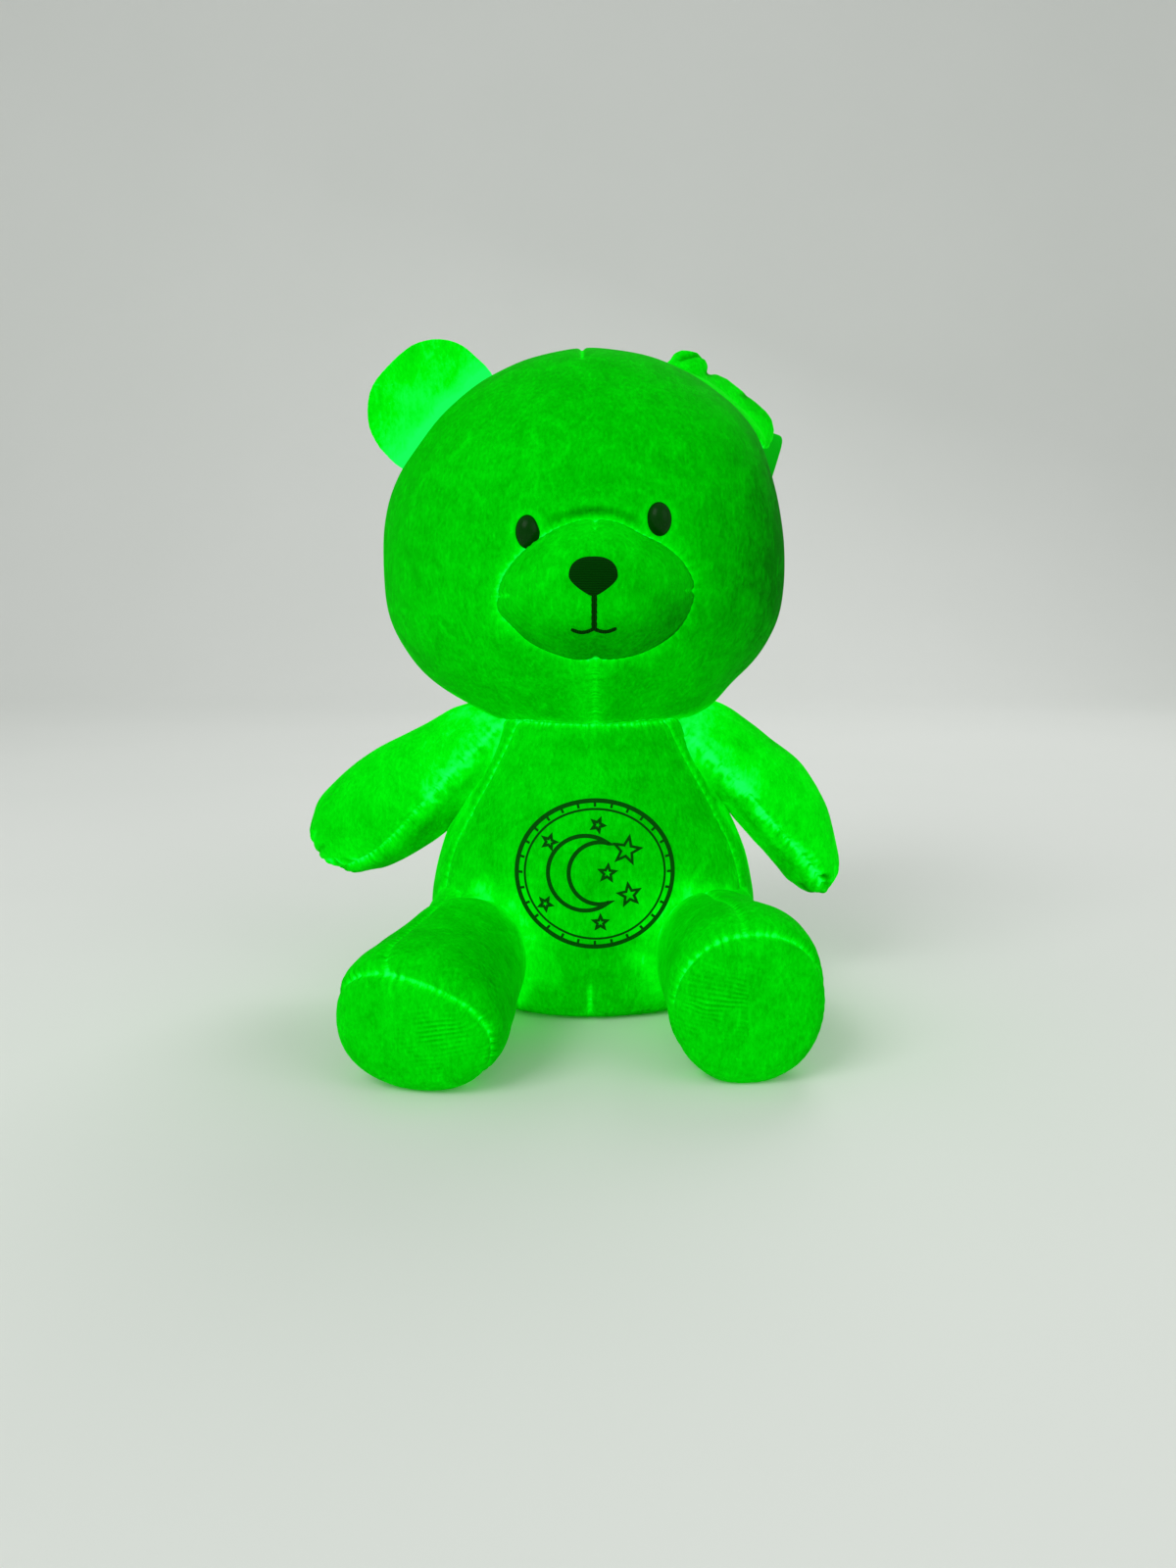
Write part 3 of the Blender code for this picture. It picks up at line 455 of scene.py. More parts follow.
def plush(name, grain_turn):
    """Short-pile glow cloth: mottled pile with fine pleats, and painted light that makes it brighter in
    seams and hollows.
    """
    made, tree, shader = blank(name)
    rest, bright, seam = (node(tree, "ShaderNodeAttribute", {"attribute_name": key}).outputs[kind]
                          for key, kind in (("rest", "Vector"), ("glow", "Fac"), ("seam", "Vector")))
    along, away, deep = node(tree, "ShaderNodeSeparateXYZ", Vector=seam).outputs

    def maths(kind, *values):
        return node(tree, "ShaderNodeMath", {"operation": kind},
                    **{"i" + str(k): v for k, v in enumerate(values)}).outputs[0]

    def noise(vector, scale, **more):
        return node(tree, "ShaderNodeTexNoise", Vector=vector, Scale=scale, **more).outputs[0]

    def spread(value, low, high, to_low, to_high):
        return node(tree, "ShaderNodeMapRange", Value=value, From_Min=low, From_Max=high, To_Min=to_low,
                    To_Max=to_high).outputs[0]

    # The pile lies one way, so its flecks are about 1 mm wide and 2 mm long
    lying = node(tree, "ShaderNodeMapping", Vector=rest, Rotation=(0, grain_turn, 0),
                 Scale=(1.0, 1.0, 0.5)).outputs[0]
    flecks = noise(lying, 900.0, Detail=5.0, Roughness=0.7)
    tufts = noise(rest, 2300.0, Detail=3.0, Roughness=0.75)
    # Patches 5 to 15 mm across where the pile has been brushed another way
    brushed = noise(rest, 85.0, Detail=4.0, Roughness=0.62, Distortion=0.9)
    wobble = noise(rest, 240.0, Detail=2.0)
    grain = spread(flecks, 0.3, 0.7, -0.085, 0.085)
    patch = spread(brushed, 0.3, 0.7, -0.10, 0.11)
    # Streaks 3 to 8 mm long where the pile has parted
    parted = node(tree, "ShaderNodeMapping", Vector=rest, Rotation=(0.4, grain_turn + 0.5, 0.2),
                  Scale=(1.0, 1.0, 0.28)).outputs[0]
    streaks = noise(parted, 520.0, Detail=3.0, Roughness=0.6, Distortion=0.4)
    streaks = spread(streaks, 0.52, 0.72, 0.0, 0.13)
    # Painted glints: single fibre tips shown as if they catch the light
    painted_glints = spread(noise(rest, 1500.0, Detail=1.0), 0.68, 0.80, 0.0, 0.22)
    # Uneven fine pleats that run out from each seam, and stitch holes along it, 2.2 mm apart
    across = node(tree, "ShaderNodeCombineXYZ", X=along, Y=maths("MULTIPLY", away, 0.16)).outputs[0]
    fine = spread(noise(across, 760.0, Detail=2.0, Roughness=0.6), 0.36, 0.64, -1.0, 1.0)
    holes = maths("SINE", maths("MULTIPLY_ADD", wobble, 9.0, maths("MULTIPLY", along, 2856.0)))
    holes = maths("MULTIPLY_ADD", holes, 0.55, maths("MULTIPLY", fine, 0.6))
    beside = maths("MULTIPLY", deep, maths("EXPONENT", maths("MULTIPLY", away, -420.0)))
    on_line = maths("POWER", maths("MULTIPLY", away, 1000.0), 2.0)
    on_line = maths("MULTIPLY", deep, maths("EXPONENT", maths("MULTIPLY", on_line, -1.3)))
    pleats = maths("MULTIPLY", fine, beside)
    stitches = maths("MULTIPLY", holes, on_line)
    # The emission's level is painted light: the glow attribute, the glints and the pleats' light and
    # shade, over the pile's random tone
    level = maths("ADD", maths("ADD", grain, patch), maths("ADD", bright, maths("ADD", painted_glints, streaks)))
    level = maths("ADD", level, maths("MULTIPLY", pleats, 0.17))
    level = maths("ADD", level, maths("MULTIPLY", stitches, 0.17))
    ramp = node(tree, "ShaderNodeValToRGB", i0=spread(level, -0.5, 1.0, 0.0, 1.0))
    stops = ramp.color_ramp.elements
    stops[0].position, stops[0].color = 0.0, linear("002c00")
    stops[1].position, stops[1].color = 1.0, linear("18ff5c")
    for position, code in ((0.333, "00a400"), (0.667, "01e908")):
        stops.new(position).color = linear(code)
    tree.links.new(ramp.outputs[0], shader.inputs["Emission Color"])
    colour_by(tree, shader, spread(flecks, 0.3, 0.7, 0.0, 1.0), linear("006200"), linear("007e02"))
    settings(shader, Emission_Strength=1.0, Roughness=0.95, Specular_IOR_Level=0.05,
             Specular_Tint=linear("10ff20"), Sheen_Weight=0.12, Sheen_Roughness=0.45,
             Sheen_Tint=linear("08d810"))
    height = maths("MULTIPLY_ADD", flecks, 1.5, maths("MULTIPLY", tufts, 0.8))
    height = maths("ADD", height, maths("MULTIPLY", pleats, 0.9))
    height = maths("ADD", height, maths("MULTIPLY", stitches, 0.9))
    raise_by(tree, shader, height, 0.7, 0.0005)
    return made


def moulded(name, code, roughness, gloss):
    """Moulded plastic: even colour, a slight orange-peel surface and faint scuffs."""
    made, tree, shader = blank(name)
    scuffs = speckle(tree, 260.0, Detail=5.0)
    colour_by(tree, shader, scuffs, linear(code), [c + 0.001 for c in shaded(code, 1.4)[:3]] + [1.0])
    rough = node(tree, "ShaderNodeMapRange", Value=scuffs, To_Min=roughness * 0.7, To_Max=roughness * 1.5)
    tree.links.new(rough.outputs[0], shader.inputs["Roughness"])
    settings(shader, Specular_IOR_Level=gloss)
    raise_by(tree, shader, speckle(tree, 900.0, Detail=2.0), 0.08, 0.0006)
    return made


def thread(name, across):
    """Satin stitches: fine parallel threads, black, with the glow's green painted in as a reflection and
    a low green shine.
    """
    made, tree, shader = blank(name)
    place = node(tree, "ShaderNodeTexCoord")
    turned = node(tree, "ShaderNodeMapping", Vector=place.outputs["Object"], Rotation=across)
    strands = node(tree, "ShaderNodeTexWave", {"wave_type": "BANDS", "bands_direction": "X"},
                   Vector=turned.outputs[0], Scale=420.0, Distortion=1.5, Detail=2.0, Detail_Scale=1.5)
    # Dark green: a painted reflection of the glowing cloth on black thread
    colour_by(tree, shader, strands.outputs[1], linear("012a01"), linear("023c02"))
    settings(shader, Roughness=0.7, Specular_IOR_Level=0.12, Specular_Tint=linear("40ff50"))
    raise_by(tree, shader, strands.outputs[1], 0.5, 0.0004)
    return made


def fibre(name, code):
    """Loose polyester fibre: pale, with fine crossing strands."""
    made, tree, shader = blank(name)
    strands = speckle(tree, 300.0, Detail=8.0, Roughness=0.8, Distortion=2.5)
    colour_by(tree, shader, strands, shaded(code, 0.82), linear(code))
    settings(shader, Roughness=0.97)
    raise_by(tree, shader, strands, 0.5, 0.001)
    return made


def card(name, code):
    """Thin smooth card with a faint paper grain, and an emission that paints on it the light of the
    cloth's glow behind it.
    """
    made, tree, shader = blank(name)
    grain = speckle(tree, 1400.0, Detail=4.0)
    colour_by(tree, shader, grain, shaded(code, 0.86), linear(code))
    settings(shader, Roughness=0.75, Specular_IOR_Level=0.03, Emission_Color=linear("05a010"),
             Emission_Strength=0.35)
    raise_by(tree, shader, grain, 0.1, 0.0002)
    return made


def ink(name):
    """Ink printed on pile: dark green, worn thin on the tips of the fibres."""
    made, tree, shader = blank(name)
    worn = speckle(tree, 1100.0, Detail=4.0)
    colour_by(tree, shader, worn, linear("004402"), linear("015c04"))
    settings(shader, Roughness=0.8, Specular_IOR_Level=0.06)
    raise_by(tree, shader, worn, 0.5, 0.0003)
    return made


PLUSH = plush("short_pile_glow_plush", 0.15)
PANEL = plush("short_pile_glow_plush_panels", -0.12)
# The eye plastic is black; its dark green colour is a painted reflection of the glowing cloth round it
EYE = moulded("glossy_black_eye_plastic", "003400", 0.25, 0.07)
WHITE = moulded("white_washer_plastic", "d8dad4", 0.4, 0.5)
NOSE_THREAD = thread("black_satin_nose_thread", (0, math.radians(90), 0))
MOUTH_THREAD = thread("black_mouth_thread", (0, 0, 0))
FIBRE = fibre("white_polyester_fibre", "e4e8e0")
CARD = card("plain_tag_card", "08b414")
INK = ink("dark_green_printed_ink")


# Forms shared with the part's solids, in metres

NECK = np.array([0, 0, 0.080])
NECK_BALL, NECK_GAP = 0.0453, 0.0004
HEAD_MIDDLE = np.array([0.0012, 0, 0.173])
HEAD_HALF = np.array([0.0755, 0.060, 0.070])
HEAD_TILT = math.radians(1)
LOWER, UPPER = 2.30, 2.10
HEAD_SEAM = 0.004


def tilt_head(points, turn=-HEAD_TILT):
    """Points of the upright head, leaned to the side with the head."""
    c, s = math.cos(turn), math.sin(turn)
    p = points - NECK
    return np.stack([p[..., 0] * c + p[..., 2] * s, p[..., 1], -p[..., 0] * s + p[..., 2] * c], -1) + NECK


def upright(keys):
    """Places seen on the leaning head, in mm, as places on the upright head in metres."""
    keys = np.asarray(keys, float) * MM
    flat = tilt_head(np.stack([keys[:, 0], np.zeros(len(keys)), keys[:, 1]], -1), HEAD_TILT)
    return flat[:, [0, 2]]


def head_full(share):
    power = np.where(share > 0, UPPER, LOWER)
    return np.maximum(0, 1 - np.abs(share) ** power) ** (1 / power)


def face_y(across, height):
    """How far forward the face is at a place seen from the front."""
    full = head_full((height - HEAD_MIDDLE[2]) / HEAD_HALF[2])
    reach = np.sqrt(np.maximum(0, full ** 2 - ((across - HEAD_MIDDLE[0]) / HEAD_HALF[0]) ** 2))
    return -HEAD_HALF[1] * reach


def bump(x, z, cx, cz, wide, high):
    """A soft round patch of weight 1 at its middle, lengths in mm."""
    return np.exp(-((x - cx) / wide) ** 2 - ((z - cz) / high) ** 2)


PIECES = {}
WAITING = []


def piece(name, cloth, body, nodes, finish, keep=None, fill_share=0.7, slot=None):
    """Notes a cover to be made once every cloth is shaped."""
    WAITING.append((name, cloth, body, nodes, finish, keep, fill_share, slot))


def tube_faces(start, rows, wide):
    """The faces of a tube of points: rows of them, each this wide, numbered from start."""
    pairs = ((start + row * wide + k, start + row * wide + (k + 1) % wide)
             for row in range(rows - 1) for k in range(wide))
    return [(a, b, b + wide, a + wide) for a, b in pairs]


# How far off, in metres, cloth still lights other cloth
HOLLOW_REACH = 0.030


def light_hollows():
    """Brightens the cloth in hollows, where each side lights the other."""
    cloths, verts, faces = [], [], []
    for entry in WAITING:
        if not any(entry[1] is other for other in cloths):
            cloths.append(entry[1])
    samples = []
    for cloth in cloths:
        rows, cols = cloth.grid.shape[:2]
        pick = np.unique(np.append(np.arange(0, rows, 4), rows - 1)), np.arange(0, cols, 4)
        coarse = cloth.grid[np.ix_(*pick)]
        start, wide = len(verts), coarse.shape[1]
        verts += coarse.reshape(-1, 3).tolist()
        faces += tube_faces(start, len(coarse), wide)
        samples.append((pick, coarse))
    tree = BVHTree.FromPolygons(verts, faces)
    ways = [np.array([math.sqrt(1 - h * h) * math.cos(a), math.sqrt(1 - h * h) * math.sin(a), h])
            for h, count in ((0.92, 3), (0.66, 5), (0.36, 7)) for a in circle(count) + h]
    for cloth, (pick, coarse) in zip(cloths, samples):
        out = facing(coarse)
        close = np.zeros(coarse.shape[:2])
        for index in np.ndindex(coarse.shape[:2]):
            normal = out[index]
            side = unit(np.cross(normal, (0.31, 0.77, 0.55)))
            third = np.cross(normal, side)
            start = Vector(coarse[index] + normal * 0.0012)
            for way in ways:
                ray = Vector(side * way[0] + third * way[1] + normal * way[2])
                _, _, _, distance = tree.ray_cast(start, ray, HOLLOW_REACH)
                if distance is not None:
                    close[index] += way[2] * (1 - distance / HOLLOW_REACH)
        close /= sum(way[2] for way in ways)
        hollow = upsample(close, *pick, cloth.grid.shape[:2]) * cloth.open
        uneven = 1 + 0.45 * lumps(cloth.grid / MM, 7.0, 91) + 0.25 * lumps(cloth.grid / MM, 3.0, 92)
        cloth.glow += np.minimum(0.85 * hollow, 0.42) * uneven


def finish_pieces():
    """Makes each cover from its finished grid; a cover whose body is given by name rides on it, and each
    stands for its solids.
    """
    for name, cloth, body, nodes, finish, keep, fill_share, slot in WAITING:
        values = {"rest": cloth.grid, "glow": cloth.glow, "seam": cloth.seam}
        item = add(name, grid_mesh(name, cloth.grid, keep, values), finish)
        PIECES[name] = item
        if isinstance(body, str):
            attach(item, body)
        else:
            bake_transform(item)
        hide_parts(*nodes)


# The plane of the body's side seams, and the height under which the base begins, in metres
BODY_SEAM = -0.020
BASE_TOP = 0.0021


def level_oval(wide, deep, height):
    """A closed level line round the upright middle line, in metres."""
    return [(wide * math.cos(a), deep * math.sin(a), height) for a in np.linspace(0, 2 * math.pi, 90)]


def torso():
    """The pear-shaped body: front panel, back panel and base."""
    # Half width, half depth and height of its rings
    keys = MM * np.array([
        (0, 0, 0), (20, 17, 0), (38, 31, 0), (50, 40.5, 0.4), (55.8, 44.4, 3.4), (60.8, 47.2, 12.1),
        (64, 48, 27.5), (63, 47.6, 45.1), (58.6, 45.9, 61.6), (51.2, 43.2, 77), (43.5, 39.4, 91.3),
        (37.8, 36.2, 102.3), (33.9, 33.9, 110), (30.5, 30.5, 113.6), (22, 22, 119.7), (11, 11, 124),
        (0, 0, 125.3)])
    rows, cols = int(250 * FINE), int(400 * FINE)
    ring = spline(keys, rows)
    angle = circle(cols)
    grid = np.empty((rows, cols, 3))
    grid[..., 0] = ring[:, :1] * np.cos(angle)
    grid[..., 1] = ring[:, 1:2] * np.sin(angle)
    grid[..., 2] = ring[:, 2:3]
    grid[0], grid[-1] = keys[0], keys[-1]
    cloth = Cloth(grid)
    fill(cloth, clamp(np.maximum(1 - grid[..., 2] / 0.012, (grid[..., 2] - 0.100) / 0.008)), pressure=3.0)
    cloth.grid[..., 2] = np.maximum(cloth.grid[..., 2], 0)
    upper = ring[rows // 8:]

    def half(z, way):
        """Half the body's width (way 0) or depth (way 1) at a height."""
        return np.interp(z, upper[:, 2], upper[:, way])

    def flank(side, z, y=BODY_SEAM):
        return side * half(z, 0) * math.sqrt(max(0, 1 - (y / half(z, 1)) ** 2)), y, z

    def belly(x, z):
        return x, -half(z, 1) * math.sqrt(max(0.0, 1 - (x / half(z, 0)) ** 2)), z

    for side in (-1, 1):
        cloth.sew([flank(side, z) for z in np.linspace(0.004, 0.112, 50)], depth=0.9, width=1.3,
                  gather=0.12, glow=0.42, halo=0.14, pleats=0.35, seed=3 + side)
        # Tucks that run out from the armpit over the flank and the chest, painted a little lighter
        root = np.array(flank(side, 0.078, -0.014))
        for across, down in ((16, -9), (13, -15), (8, -20), (3, -23), (-3, -19), (-8, -12)):
            end = np.array(flank(side, 0.078 + down * MM, -0.014 - across * MM * 0.8))
            cloth.fold([root, (root + end) / 2, end], height=-0.55, width=1.4, glow=0.10, fade=6)
    cloth.sew(level_oval(0.0345, 0.0345, 0.1095), depth=0.5, width=1.2, puff=0.3, gather=0.10,
              pitch=2.9, reach=3.5, glow=0.42, halo=0.05, pleats=0.8, seed=9)
    # A dart at the bottom of the belly
    cloth.sew([(-0.0013, -half(z, 1), z) for z in np.linspace(0.001, 0.016, 12)], depth=1.1, width=1.0,
              puff=0.4, gather=0.1, glow=0.7, halo=0.10, pleats=0.3, fade=2, seed=12)
    cloth.sew(level_oval(0.0558, 0.0444, 0.0022), depth=0.5, width=1.1, puff=0.0, gather=0.1,
              reach=3.0, glow=0.2, halo=0.1, seed=14)
    cloth.soften(24, 0.7, 4)
    cloth.soften(9, 0.18, 5)
    x, y, z = (cloth.grid[..., k] / MM for k in range(3))
    # Slack cloth across the chest and above the lap, each crease painted a little darker: its height,
    # left and right ends and sag
    for height, left, right, sag in ((104, -22, 18, 2.5), (97, -26, 8, 3.0), (91, 2, 30, 2.0),
                                     (33, -30, 4, -3.0), (29, -4, 30, -2.5)):
        line = [belly(MM * (left + (right - left) * t), MM * (height - sag * math.sin(math.pi * t)))
                for t in np.linspace(0, 1, 12)]
        cloth.fold(line, height=-0.5, width=2.6, glow=-0.05, fade=8)
    cloth.lift *= clamp(cloth.grid[..., 2] / 0.002)
    cloth.charge(0.28)
    # Painted shade low on the body, more painted hollow light low down and less near the neck, painted
    # light on the chest and painted shade under the head
    cloth.glow -= 0.12 * clamp((34 - z) / 20) * (np.abs(x) < 60)
    cloth.open += 0.5 * clamp((60 - z) / 15) - 0.5 * clamp((z - 98) / 8)
    cloth.glow += 0.08 * bump(x, z, -6, 92, 26, 12) - 0.08 * bump(x, z, 10, 101, 20, 7)
    cloth.settle()
    middle = face_middles(cloth.grid)
    under = middle[..., 2] < BASE_TOP
    front = (middle[..., 1] < BODY_SEAM) & ~under
    piece("torso_front", cloth, "torso", ["body_front_panel"], PANEL, keep=front, slot="plush_panel")
    piece("torso_back", cloth, "torso", ["body_back_panel"], PLUSH, keep=~front & ~under)
    piece("torso_base", cloth, "torso", ["base_panel"], PLUSH, keep=under)


# The head's outline as seen from the front, in mm
HEAD_OUTLINE = np.array([
    (-2, 245.2), (-36.2, 236.1), (-49.9, 225.9), (-61.3, 213.4), (-70.9, 200.8), (-76.6, 184),
    (-78.6, 167.9), (-77.0, 150), (-70.6, 136.5), (-61.0, 124.2), (-47.3, 116.1), (46.8, 115.4),
    (51.7, 120.8), (63, 130.3), (71.4, 143.6), (74.7, 162.3), (72.9, 184.4), (68.7, 200.8),
    (60.9, 217), (45.8, 231.2), (28.1, 241.7)])
MUZZLE_OUTLINE = upright([
    (-33.0, 156.0), (-30.6, 162.6), (-25.8, 168.6), (-19.4, 174.0), (-11.4, 178.5), (-1.8, 180.6),
    (8.0, 179.8), (16.4, 176.0), (24.6, 171.8), (31.0, 166.0), (34.0, 158.6), (33.0, 151.8),
    (29.8, 145.5), (23.2, 139.9), (14.8, 136.0), (6.4, 134.6), (0.6, 135.1), (-5.4, 134.6),
    (-13.8, 136.7), (-22.1, 140.5), (-28.8, 146.8), (-32.6, 151.6)])
EYES = upright([(-22.4, 177.4), (22.1, 181.6)]) / MM


def fit_outline(grid, centre):
    """Moves the head's cloth in or out so that its outline is the photographed one."""
    rel = (grid[..., [0, 2]] - centre) / MM
    turn = np.arctan2(rel[..., 1], rel[..., 0])
    reach = np.linalg.norm(rel, axis=-1)

    def own(a):
        power = np.where(np.sin(a) > 0, UPPER, LOWER)
        wide, high = HEAD_HALF[[0, 2]] / MM
        return (np.abs(np.cos(a) / wide) ** power + np.abs(np.sin(a) / high) ** power) ** (-1 / power)

    seen = HEAD_OUTLINE - centre / MM
    angles = np.arctan2(seen[:, 1], seen[:, 0])
    share = np.linalg.norm(seen, axis=1) / own(angles)
    order = np.argsort(angles)
    angles, share = angles[order], share[order]
    angles = np.concatenate([angles - 2 * math.pi, angles, angles + 2 * math.pi])
    share = np.concatenate([share, share, share])
    # Under the chin the solid's own form is kept
    share = np.where(np.sin(angles) < -0.75, 1.0, share)
    smooth = np.linspace(-math.pi * 1.5, math.pi * 1.5, 721)
    values = np.interp(smooth, angles, share)
    kernel = np.hanning(25) / np.hanning(25).sum()
    values = np.convolve(np.pad(values, 12, "edge"), kernel, "valid")
    wanted = np.interp(turn, smooth, values)
    weight = clamp(reach / own(turn)) ** 2
    moved = grid.copy()
    moved[..., [0, 2]] = centre + rel * MM * (1 + (wanted - 1) * weight)[..., None]
    return moved


def neck_edge(turn):
    """Where the head's own form meets the round top of the body, in one direction."""
    for z in np.linspace(0.104, 0.126, 45):
        full = float(head_full(np.array((z - HEAD_MIDDLE[2]) / HEAD_HALF[2])))
        across, along = HEAD_HALF[:2] * full * (math.cos(turn), math.sin(turn))
        p = np.array([HEAD_MIDDLE[0] + across, along, z])
        if np.linalg.norm(p - NECK) > NECK_BALL + NECK_GAP:
            break
    return tuple(p)


def outline_point(turn, way):
    """A point of the head's outline seen from the front (way 0) or the side (way 1)."""
    point = HEAD_MIDDLE.copy()
    full = float(head_full(np.array(-math.cos(turn))))
    point[way] += HEAD_HALF[way] * full * (1 if turn < math.pi else -1)
    point[2] -= HEAD_HALF[2] * math.cos(turn)
    return point


def inside_outline(x, z, rim):
    """Which places seen from the front lie inside a closed line."""
    inside = np.zeros(x.shape, bool)
    for a, b in zip(rim, np.roll(rim, -1, 0)):
        if a[2] == b[2]:
            continue
        crosses = (z < a[2]) != (z < b[2])
        inside ^= crosses & (x < (b[0] - a[0]) * (z - a[2]) / (b[2] - a[2]) + a[0])
    return inside


# How far, in metres, the face's cloth lies back behind the muzzle
UNDER_MUZZLE = 0.004


def head():
    """The head in two panels, with the muzzle's opening, eye hollows and seams."""
    rows, cols = int(280 * FINE), int(470 * FINE)
    share = -np.cos(np.linspace(0, math.pi, rows))
    # Even spacing along the outline, so that the cheeks and crown get the same detail
    full = head_full(share)
    outline = np.stack([HEAD_HALF[0] * full, HEAD_HALF[2] * share], -1)
    at = np.concatenate([[0], np.cumsum(np.linalg.norm(np.diff(outline, axis=0), axis=1))])
    share = np.interp(np.linspace(0, at[-1], rows), at, share)
    full = head_full(share)[:, None]
    angle = circle(cols)
    grid = np.empty((rows, cols, 3))
    grid[..., 0] = HEAD_MIDDLE[0] + HEAD_HALF[0] * full * np.cos(angle)
    grid[..., 1] = HEAD_HALF[1] * full * np.sin(angle)
    grid[..., 2] = HEAD_MIDDLE[2] + HEAD_HALF[2] * share[:, None]
    cloth = Cloth(grid, HEAD_MIDDLE)
    x, y, z = (grid[..., k] / MM for k in range(3))
    front = y < 0
    held = clamp(1 - (z - 112) / 10)
    fill(cloth, held, pressure=3.0)

    rim = spline(np.vstack([MUZZLE_OUTLINE, MUZZLE_OUTLINE[:1]]), 140)
    rim = np.array([(px, face_y(px, pz), pz) for px, pz in rim])
    cloth.sew(rim, depth=2.2, width=2.2, puff=0.9, gather=0.1, pitch=3.0, reach=3.6, glow=0.25,
              halo=0.08, pleats=0.45, seed=2)
    inside = inside_outline(grid[..., 0], grid[..., 2], rim) & front
    cloth.lift[inside] -= UNDER_MUZZLE
    # The face rolls over above the muzzle, with painted shade under the roll
    gap, _, _ = near(grid, rim)
    gap = gap / MM
    above = front & ~inside & (z > 171)
    weight = bump(x, z, 1.5, 184, 15, 9) * above
    cloth.lift += MM * 1.2 * weight * bell(gap - 5.5, 2.4)
    cloth.glow -= 0.5 * weight * bell(gap - 3.4, 1.3)
    # Painted highlight on the cloth along the muzzle's seam, stronger above
    cloth.glow += np.where(z > 158, 0.34, 0.20) * bell(gap, 1.1) * (front & ~inside)
    for px, pz in EYES:
        away = np.hypot((x - px) / 0.85, z - pz)
        cloth.lift -= np.where(front, MM * 1.5 * bell(away, 6.5), 0)
        cloth.lift += np.where(front, MM * 0.4 * bell(away - 9.5, 2.5) * (z > pz - 4), 0)
        # A painted light ring round each eye hollow
        cloth.glow += np.where(front, 0.16 * bell(away - 6.3, 1.4), 0)
    chin = [(0.0012, face_y(0.0012, v), v) for v in np.linspace(0.104, 0.134, 24)]
    cloth.sew(chin, depth=0.55, width=1.1, puff=0.25, gather=0.26, pitch=3.0, reach=4.5, glow=0.12,
              halo=0.16, pleats=0.8, seed=6)
    crown = [(-0.0012, face_y(-0.0012, v), v) for v in np.linspace(0.2366, 0.2427, 10)]
    crown += [(-0.0012, v, 0.2431) for v in (-0.006, 0.0, HEAD_SEAM)]
    cloth.sew(crown, depth=0.7, width=0.9, puff=0.25, gather=0.0, reach=3.0, glow=0.55, halo=0.10,
              pleats=0.3, seed=7)
    side_seam = [outline_point(a, 0) + (0, HEAD_SEAM, 0) for a in np.linspace(0, 2 * math.pi, 160)]
    back_seam = [outline_point(a, 1) for a in np.linspace(0.3, math.pi, 60)]
    for line, seed in ((side_seam, 8), (back_seam, 16)):
        cloth.sew(line, depth=0.6, width=1.2, puff=0.3, gather=0.1, glow=0.3, halo=0.1, pleats=0.4,
                  seed=seed)
    # Gathers at the neck seam, which dips under the chin
    neck_line = [neck_edge(v) for v in np.linspace(0, 2 * math.pi, 120)]
    cloth.sew(neck_line, depth=0.8, width=1.6, puff=0.5, gather=0.32, pitch=2.9, glow=0.25, halo=0.14,
              pleats=1.0, seed=10)
    cloth.lift += MM * 2.2 * bump(x, z, 1, 113, 20, 7) * front
    cloth.soften(26, 0.8, 7)
    cloth.soften(10, 0.18, 8)
    cloth.charge(0.26)
    # Painted shade over the right side of the head, painted light on the left cheek, the chin and the
    # left brow
    dim = clamp((x - 30) / 44)
    cloth.glow -= 0.33 * dim ** 1.3 * clamp(1.15 - np.abs(z - 168) / 75)
    cloth.glow -= 0.05 * bump(x, z, 66, 185, 16, 40)
    cloth.glow += 0.07 * bump(x, z, -38, 150, 30, 22) + 0.08 * bump(x, z, -6, 121, 34, 10)
    cloth.glow += 0.05 * bump(x, z, -30, 205, 26, 20) - 0.03
    # Painted light left of the chin seam and painted shade right of it
    cloth.glow += 0.12 * bell(x + 3, 6) * clamp((134 - z) / 5) * front
    cloth.glow -= 0.10 * bell(x - 9, 7) * clamp((134 - z) / 5) * front
    cloth.open -= 0.85 * bell(gap, 9.0)
    cloth.settle()
    done = tilt_head(fit_outline(cloth.grid, HEAD_MIDDLE[[0, 2]]))
    # Under the neck the cloth follows the round top of the body
    reach = np.linalg.norm(done - NECK, axis=-1, keepdims=True)
    least = NECK_BALL + NECK_GAP
    cloth.grid = np.where(reach < least, NECK + (done - NECK) * least / reach, done)
    behind = face_middles(grid[..., 1]) >= HEAD_SEAM
    piece("head_face", cloth, "head", ["face_panel"], PLUSH, keep=~behind)
    piece("head_back", cloth, "head", ["head_back_panel"], PLUSH, keep=behind)


